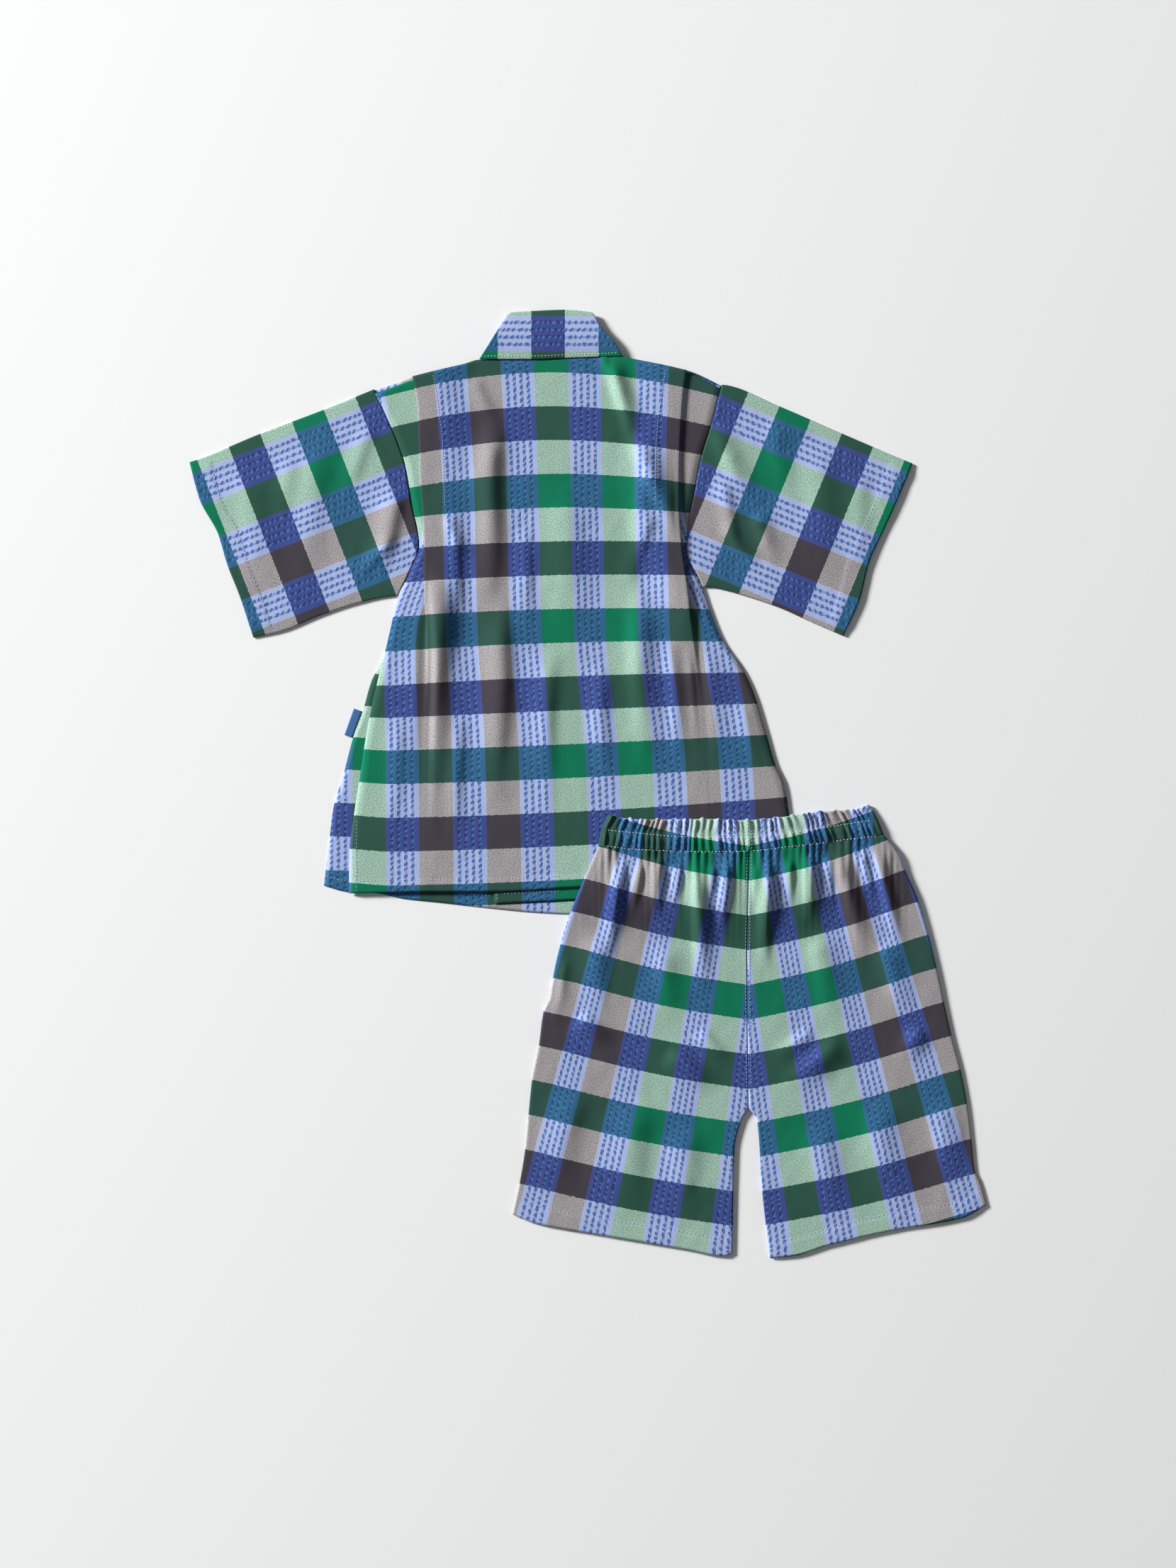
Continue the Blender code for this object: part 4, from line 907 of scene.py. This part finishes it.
def waist_shell():
    """A closed ring laid flat: the upper wall, the right turn, the lower wall and the left turn."""
    panel = Panel(RUFFLE_EDGE, WAIST_SEAM, WAIST_LEFT, WAIST_RIGHT, seam=0.05)
    over, turn, under, rows = WAIST_GATHERS * 14, 6, 60, 26
    t, low = np.linspace(0, 1, over + 1), np.linspace(1, 0, under + 1)
    bend = np.pi * np.arange(1, turn) / turn
    down = np.repeat(np.linspace(0, 1, rows + 1)[:, None], over + turn + under + turn + 1, axis=1)
    rise = WAIST_SECTIONS(down, 1)
    left, right = panel.row(down)
    wide = right - left
    inset = (rise / 2 + CLOTH / 2) / wide
    a, b, c = over + 1, over + turn, over + turn + under + 1
    d = c + turn - 1  # a to b is the right turn, b to c the lower wall, c to d the left turn
    top = inset[:, :a] + (1 - 2 * inset[:, :a]) * t
    right_turn = 1 - inset[:, a:b] + rise[:, a:b] / 2 * np.sin(bend) / wide[:, a:b]
    lower = inset[:, b:c] + (1 - 2 * inset[:, b:c]) * low
    left_turn = inset[:, c:d] - rise[:, c:d] / 2 * np.sin(bend) / wide[:, c:d]
    share = np.hstack([top, right_turn, lower, left_turn, top[:, :1]])
    x, y = panel.point(share, down[:, :share.shape[1]])
    down, rise = down[:, :share.shape[1]], rise[:, :share.shape[1]]
    z = FLOOR + over_jacket(x, y) + np.hstack([
        rise[:, :a], rise[:, a:b] * (1 + np.cos(bend)) / 2, 0 * lower,
        rise[:, c:d] * (1 - np.cos(bend)) / 2, rise[:, :1],
    ])
    z[:, :a] = waist_height(x[:, :a], y[:, :a], t[None, :], down[:, :a])
    gathers = 2 * np.pi * WAIST_GATHERS * t
    ruffle = 0.9 * np.sin(gathers / 2.3) + 0.5 * np.sin(gathers / 1.4)
    y[:, :a] += ruffle * (1 - down[:, :a]) ** 4 * eased(t / 0.03) * eased((1 - t) / 0.03)
    z[:, -1] = z[:, 0]
    u_left, v_left = shorts_check(x, y, 1)
    u_right, v_right = shorts_check(x, y, -1)
    u, v = np.where(x < CENTRE_SEAM, u_left, u_right), np.where(x < CENTRE_SEAM, v_left, v_right)
    return cloth_shell("waist_casing", x, y, z, u, v, checked, tube=True)


waist = waist_shell()
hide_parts("waistband")

# %% [markdown]
# ## Ties and tab
# The ties hide between the layers, as they do when a set is laid out neatly. They and the bare tab in
# the side seam are plain woven strips.

# %% Build the ties and the tab
def woven(name, code):
    """Plain-woven cotton tape: one colour, with a fine grain that breaks up the light."""
    material = bpy.data.materials.new(name)
    material.use_nodes = True
    tree = material.node_tree
    shader = tree.nodes["Principled BSDF"]
    where = add(tree, "ShaderNodeTexCoord").outputs["Object"]
    weave = add(tree, "ShaderNodeTexNoise", [("Vector", where)])
    weave.inputs["Scale"].default_value = 1400.0
    tone = mixed(tree, 0.35, colour(code), weave.outputs[1], "OVERLAY")
    tree.links.new(tone, shader.inputs["Base Color"])
    shader.inputs["Roughness"].default_value = 0.85
    shader.inputs["Sheen Weight"].default_value = 0.1
    bump = add(tree, "ShaderNodeBump", [("Height", weave.outputs[0])])
    bump.inputs["Strength"].default_value = 0.3
    bump.inputs["Distance"].default_value = 0.2 * MM
    tree.links.new(bump.outputs[0], shader.inputs["Normal"])
    return material


tape = woven("green_cotton_tape", "#0E6B4C")
tab_weave = woven("blue_woven_tab", "#3A66A0")


def strip_shell(name, start, end, width, level, material):
    """A straight strip of woven tape between two places."""
    start, end = Vector(start), Vector(end)
    side = Vector((start.y - end.y, end.x - start.x)).normalized() * width
    across, down = grid_shares(6, 60)
    x = start.x + (end.x - start.x) * down + side.x * (across - 0.5)
    y = start.y + (end.y - start.y) * down + side.y * (across - 0.5)
    return cloth_shell(name, x, y, level + 0 * x, across, down * 6, material)


for name, start, end, width, level, material, node, finish in (
    ("tie_out_front", (42, 105), (52, -65), 8.0, FLOOR, tape, "tie_outer_front", "tie_cotton"),
    ("tie_out_side", (84, 88), (106, -65), 8.0, FLOOR, tape, "tie_outer_side", "tie_cotton"),
    ("tie_in_front", (-78.5, 105), (-88, -60), 8.0, FLOOR + LAYER, tape, "tie_inner_front", "tie_cotton"),
    ("tie_in_side", (-142, 92), (-150, -60), 8.0, FLOOR + LAYER, tape, "tie_inner_side", "tie_cotton"),
    ("seam_tab", (-178.5, 57.5), (-185.9, 37.0), 6.6, FLOOR, tab_weave, "side_tab", "tab_cotton"),
):
    piece = strip_shell(name, start, end, width, level, material)
    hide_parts(node)

# %% [markdown]
# ## Stitches
# A seam shows as a row of small thread bridges, each pulled a little into the cloth. Every stitch is a
# short rounded thread of its own that lies on the highest cloth below it. Where the cloth rises, the
# stitch leans with it. The thread is spun polyester and cotton. It is white at the collar and the
# waist, and elsewhere pale lilac, which shows on dark bands and nearly vanishes on light ones.

# %% Sew along a line
bpy.context.view_layer.update()
depsgraph = bpy.context.evaluated_depsgraph_get()
TOPS = [BVHTree.FromObject(piece, depsgraph) for piece in (
    back, front_left, front_right, sleeve_left, sleeve_right, collar, leg_left, leg_right, waist)]
THREAD = 0.55  # thickness of the thread in millimetres


def surface(x, y):
    """Height of the highest cloth at a place. One ray can fall through a seam, so three go down."""
    down = Vector((0, 0, -1))
    starts = (Vector((x, y + aside, 50)) * MM for aside in (0.0, 0.12, -0.12))
    hits = (tree.ray_cast(start, down)[0] for start in starts for tree in TOPS)
    return max([hit.z / MM for hit in hits if hit] + [0.0])


def sew(name, lines, material, pitch, length):
    """One mesh with the stitches of several lines of (x, y) places, spaced and long in millimetres."""
    bm = bmesh.new()
    count = 0
    for line in lines:
        points = np.array(line, dtype=float)
        steps = np.hypot(*np.diff(points, axis=0).T)
        run = np.concatenate([[0], np.cumsum(steps)])
        for middle in np.arange(pitch / 2, run[-1], pitch):
            ends = []
            for place in (middle - length / 2, middle + length / 2):
                x, y = np.interp(place, run, points[:, 0]), np.interp(place, run, points[:, 1])
                ends.append(Vector((x, y, surface(x, y))) * MM)
            first, last = ends
            turn = (last - first).to_track_quat("X", "Z").to_matrix().to_4x4()
            size = Matrix.Diagonal(((last - first).length / 2, THREAD * MM / 2, THREAD * MM / 2, 1))
            spot = Matrix.Translation((first + last) / 2 + Vector((0, 0, 0.05 * MM)))
            bmesh.ops.create_uvsphere(bm, u_segments=6, v_segments=5, radius=1, matrix=spot @ turn @ size)
            count += 1
    mesh = bpy.data.meshes.new(name)
    bm.to_mesh(mesh)
    bm.free()
    mesh.shade_smooth()
    mesh.materials.append(material)
    threads = bpy.data.objects.new(name, mesh)
    bpy.context.scene.collection.objects.link(threads)
    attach(threads, BODY)
    print("%-18s %4d stitches" % (name, count))
    return threads


def thread_colour(name, code):
    """Spun sewing thread: matt, one colour."""
    material = bpy.data.materials.new(name)
    material.use_nodes = True
    shader = material.node_tree.nodes["Principled BSDF"]
    shader.inputs["Base Color"].default_value = colour(code)
    shader.inputs["Roughness"].default_value = 0.7
    return material


white_thread = thread_colour("white_sewing_thread", "#DCD9E0")
lilac_thread = thread_colour("lilac_sewing_thread", "#A9B1D8")


def beside(table, start, end, offset_y=0.0, steps=40):
    """Places along a table's line from one x to another, moved up by offset_y."""
    line = Line(table)
    keys = np.linspace(start, end, steps)
    return [(key, float(line(key)) + offset_y) for key in keys]


def down_edge(table, offset, start, end, steps=40):
    """The same for a side edge, whose table is read by y."""
    line = Line(table)
    return [(float(line(y)) + offset, y) for y in np.linspace(start, end, steps)]


print("the cloth's top beside the collar: %.1f mm" % surface(0.0, 300.0))

# %% [markdown]
# The rows follow the edges' own tables at the distance that the photo shows: white thread along the
# collar's seam, lilac thread down both tucks, along the hems and beside the sleeve ends.

# %% Sew the jacket
TUCK_STITCH_LEFT = (
    (319.0, -120.5), (305.0, -117.7), (285.0, -115.0), (269.5, -112.8), (243.0, -111.7),
    (213.5, -110.6),
)
TUCK_STITCH_RIGHT = (
    (322.5, 60.5), (305.0, 57.8), (285.0, 54.7), (261.0, 52.8), (235.0, 52.0), (215.5, 52.5),
)
sew("collar_stitches", [beside(COLLAR_SEAM, -81.0, 24.0, 2.6)], white_thread, pitch=2.6, length=1.5)
sew("tuck_stitches", [
    down_edge(TUCK_STITCH_LEFT, 0.0, 317.0, 213.5), down_edge(TUCK_STITCH_RIGHT, 0.0, 321.0, 215.5),
], lilac_thread, pitch=2.4, length=1.7)
sew("hem_stitches", [
    beside(BACK_HEM, -178.0, -20.0, 9.4),
    down_edge(((-27.0, -179.3), (-84.0, -179.3)), 0.0, -28.0, -83.5),
    beside(FRONT_LEFT_HEM, -203.0, -188.0, 8.5), beside(FRONT_LEFT_HEM, -100.0, -76.0, 9.6),
    beside(FRONT_RIGHT_HEM, -66.0, -22.0, 7.5),
    down_edge(((-84.0, -70.5), (-92.0, -70.5)), 0.0, -84.5, -91.5, steps=4),
], lilac_thread, pitch=2.8, length=1.9)
sew("cuff_stitches", [
    down_edge(CUFF_LEFT, 16.5, 251.0, 121.0), down_edge(CUFF_RIGHT, -16.5, 247.0, 122.0),
], lilac_thread, pitch=3.2, length=2.0)

# %% [markdown]
# Two rows hold the elastic's casing, and they stop just inside the waistband's ends. The centre seam is
# sewn down on both sides, and each leg has one row along its hem.

# %% Sew the shorts
UPPER_ROW = (
    (13.5, -35.5), (39.0, -38.0), (67.5, -40.5), (98.0, -41.5), (124.0, -41.5), (150.5, -39.0),
    (179.0, -34.5), (204.0, -30.5), (222.0, -28.0),
)
LOWER_ROW = (
    (9.5, -47.5), (37.5, -50.5), (67.5, -51.7), (94.0, -52.5), (126.5, -51.7), (150.5, -49.0),
    (175.5, -46.2), (204.0, -42.5), (228.0, -39.8),
)
SEAM_ROW = ((-28.0, 125.4), (-128.0, 123.8), (-256.0, 125.2))
sew("waist_stitches", [
    beside(UPPER_ROW, 15.0, 219.5), beside(LOWER_ROW, 11.5, 225.0),
], white_thread, pitch=2.7, length=1.7)
sew("seat_stitches", [
    down_edge(SEAM_ROW, -1.6, -30.0, -250.0, 60), down_edge(SEAM_ROW, 1.6, -30.0, -250.0, 60),
], lilac_thread, pitch=2.6, length=1.8)
sew("leg_stitches", [
    beside(LEG_LEFT_HEM, -54.0, 108.0, 13.2), beside(LEG_RIGHT_HEM, 143.0, 305.0, 13.2),
], lilac_thread, pitch=3.2, length=1.9)

# %% [markdown]
# ## Floor, light and camera
# A pale floor stands in for the white page. One large soft lamp from the upper left gives the tucks
# their shadows, and an even pale sky fills them. The camera looks straight down from three metres, so
# almost nothing leans outwards, and it frames the whole photograph's height.

# %% Stage
VIEW_HEIGHT = 2212 * 0.55 * MM  # the photograph's height at the garment
CAMERA_HEIGHT = 3.0
SENSOR = 36.0

bm = bmesh.new()
bmesh.ops.create_grid(bm, x_segments=1, y_segments=1, size=12.0)
bmesh.ops.translate(bm, verts=bm.verts, vec=(0, 0, -0.05 * MM))
floor_mesh = bpy.data.meshes.new("floor")
bm.to_mesh(floor_mesh)
bm.free()
floor = bpy.data.objects.new("floor", floor_mesh)
bpy.context.scene.collection.objects.link(floor)
paper = bpy.data.materials.new("white_paper")
paper.use_nodes = True
paper.node_tree.nodes["Principled BSDF"].inputs["Base Color"].default_value = (0.9, 0.9, 0.9, 1)
paper.node_tree.nodes["Principled BSDF"].inputs["Roughness"].default_value = 0.95
floor_mesh.materials.append(paper)


def lamp(name, place, size, power):
    """A square soft box that looks at the middle of the set."""
    light = bpy.data.lights.new(name, "AREA")
    light.shape, light.size, light.energy = "SQUARE", size, power
    holder = bpy.data.objects.new(name, light)
    holder.location = place
    holder.rotation_euler = (-Vector(place)).to_track_quat("-Z", "Y").to_euler()
    bpy.context.scene.collection.objects.link(holder)


lamp("key_softbox", (-7.0, 3.6, 3.5), 1.8, 1370)

world = bpy.data.worlds.new("studio")
world.use_nodes = True
world.node_tree.nodes["Background"].inputs["Color"].default_value = (0.96, 0.98, 1.0, 1)
world.node_tree.nodes["Background"].inputs["Strength"].default_value = 0.17
bpy.context.scene.world = world
bpy.context.scene.view_settings.view_transform = "Standard"  # keeps dyed colours as they are

lens = bpy.data.cameras.new("camera")
lens.type, lens.sensor_fit = "PERSP", "VERTICAL"
lens.sensor_height = SENSOR
lens.sensor_width = SENSOR * 1659 / 2212
lens.lens = SENSOR * CAMERA_HEIGHT / VIEW_HEIGHT
camera = bpy.data.objects.new("camera", lens)
camera.location = (0, 0, CAMERA_HEIGHT)
bpy.context.scene.collection.objects.link(camera)
bpy.context.scene.camera = camera
print("the camera's lens: %.0f mm from %.0f m up" % (lens.lens, CAMERA_HEIGHT))

# %% [markdown]
# ## How each piece was cut
# A maker needs the flat size of every panel, and it also shows whether a laid cloth was stretched by
# mistake. On the sleeves, the legs and the waistband the width is the whole way round. No piece but the
# waistband was cut longer than it lies. The ties are 8 mm wide tapes, the tab is 6.6 mm wide, and each
# is sewn to the panel named.

# %% State the cuts
# Columns: piece, width and length in metres, area in square metres, hold, what lies below, what is sewn on
CUTS = (
    (front_left, (0.242, 0.431), 0.0679, "laid", ["floor"], ["tie_out_front", "tie_out_side"]),
    (front_right, (0.233, 0.424), 0.0667, "laid", ["front_outer"], ["tie_in_front", "tie_in_side"]),
    (back, (0.346, 0.416), 0.1235, "laid", ["front_inner"], ["seam_tab", "tuck_stitches", "hem_stitches"]),
    (sleeve_left, (0.325, 0.155), 0.0450, "laid", ["floor"], []),
    (sleeve_right, (0.325, 0.160), 0.0434, "laid", ["floor"], []),
    (collar, (0.112, 0.038), 0.0032, "laid", ["front_inner"], ["collar_stitches"]),
    (band_left, (0.038, 0.257), 0.0089, "laid", ["floor"], []),
    (band_right, (0.038, 0.202), 0.0069, "laid", ["front_outer"], []),
    (leg_left, (0.345, 0.318), 0.0944, "laid", ["jacket_back"], []),
    (leg_right, (0.345, 0.328), 0.0941, "laid", ["floor"], ["leg_stitches", "seat_stitches"]),
    (waist, (0.500, 0.025), None, "gathered", ["jacket_back"], ["waist_stitches"]),
)
cloth = sum(area or size[0] * size[1] for _, size, area, *_ in CUTS)
print("cloth in the set: %.2f square metres" % cloth)
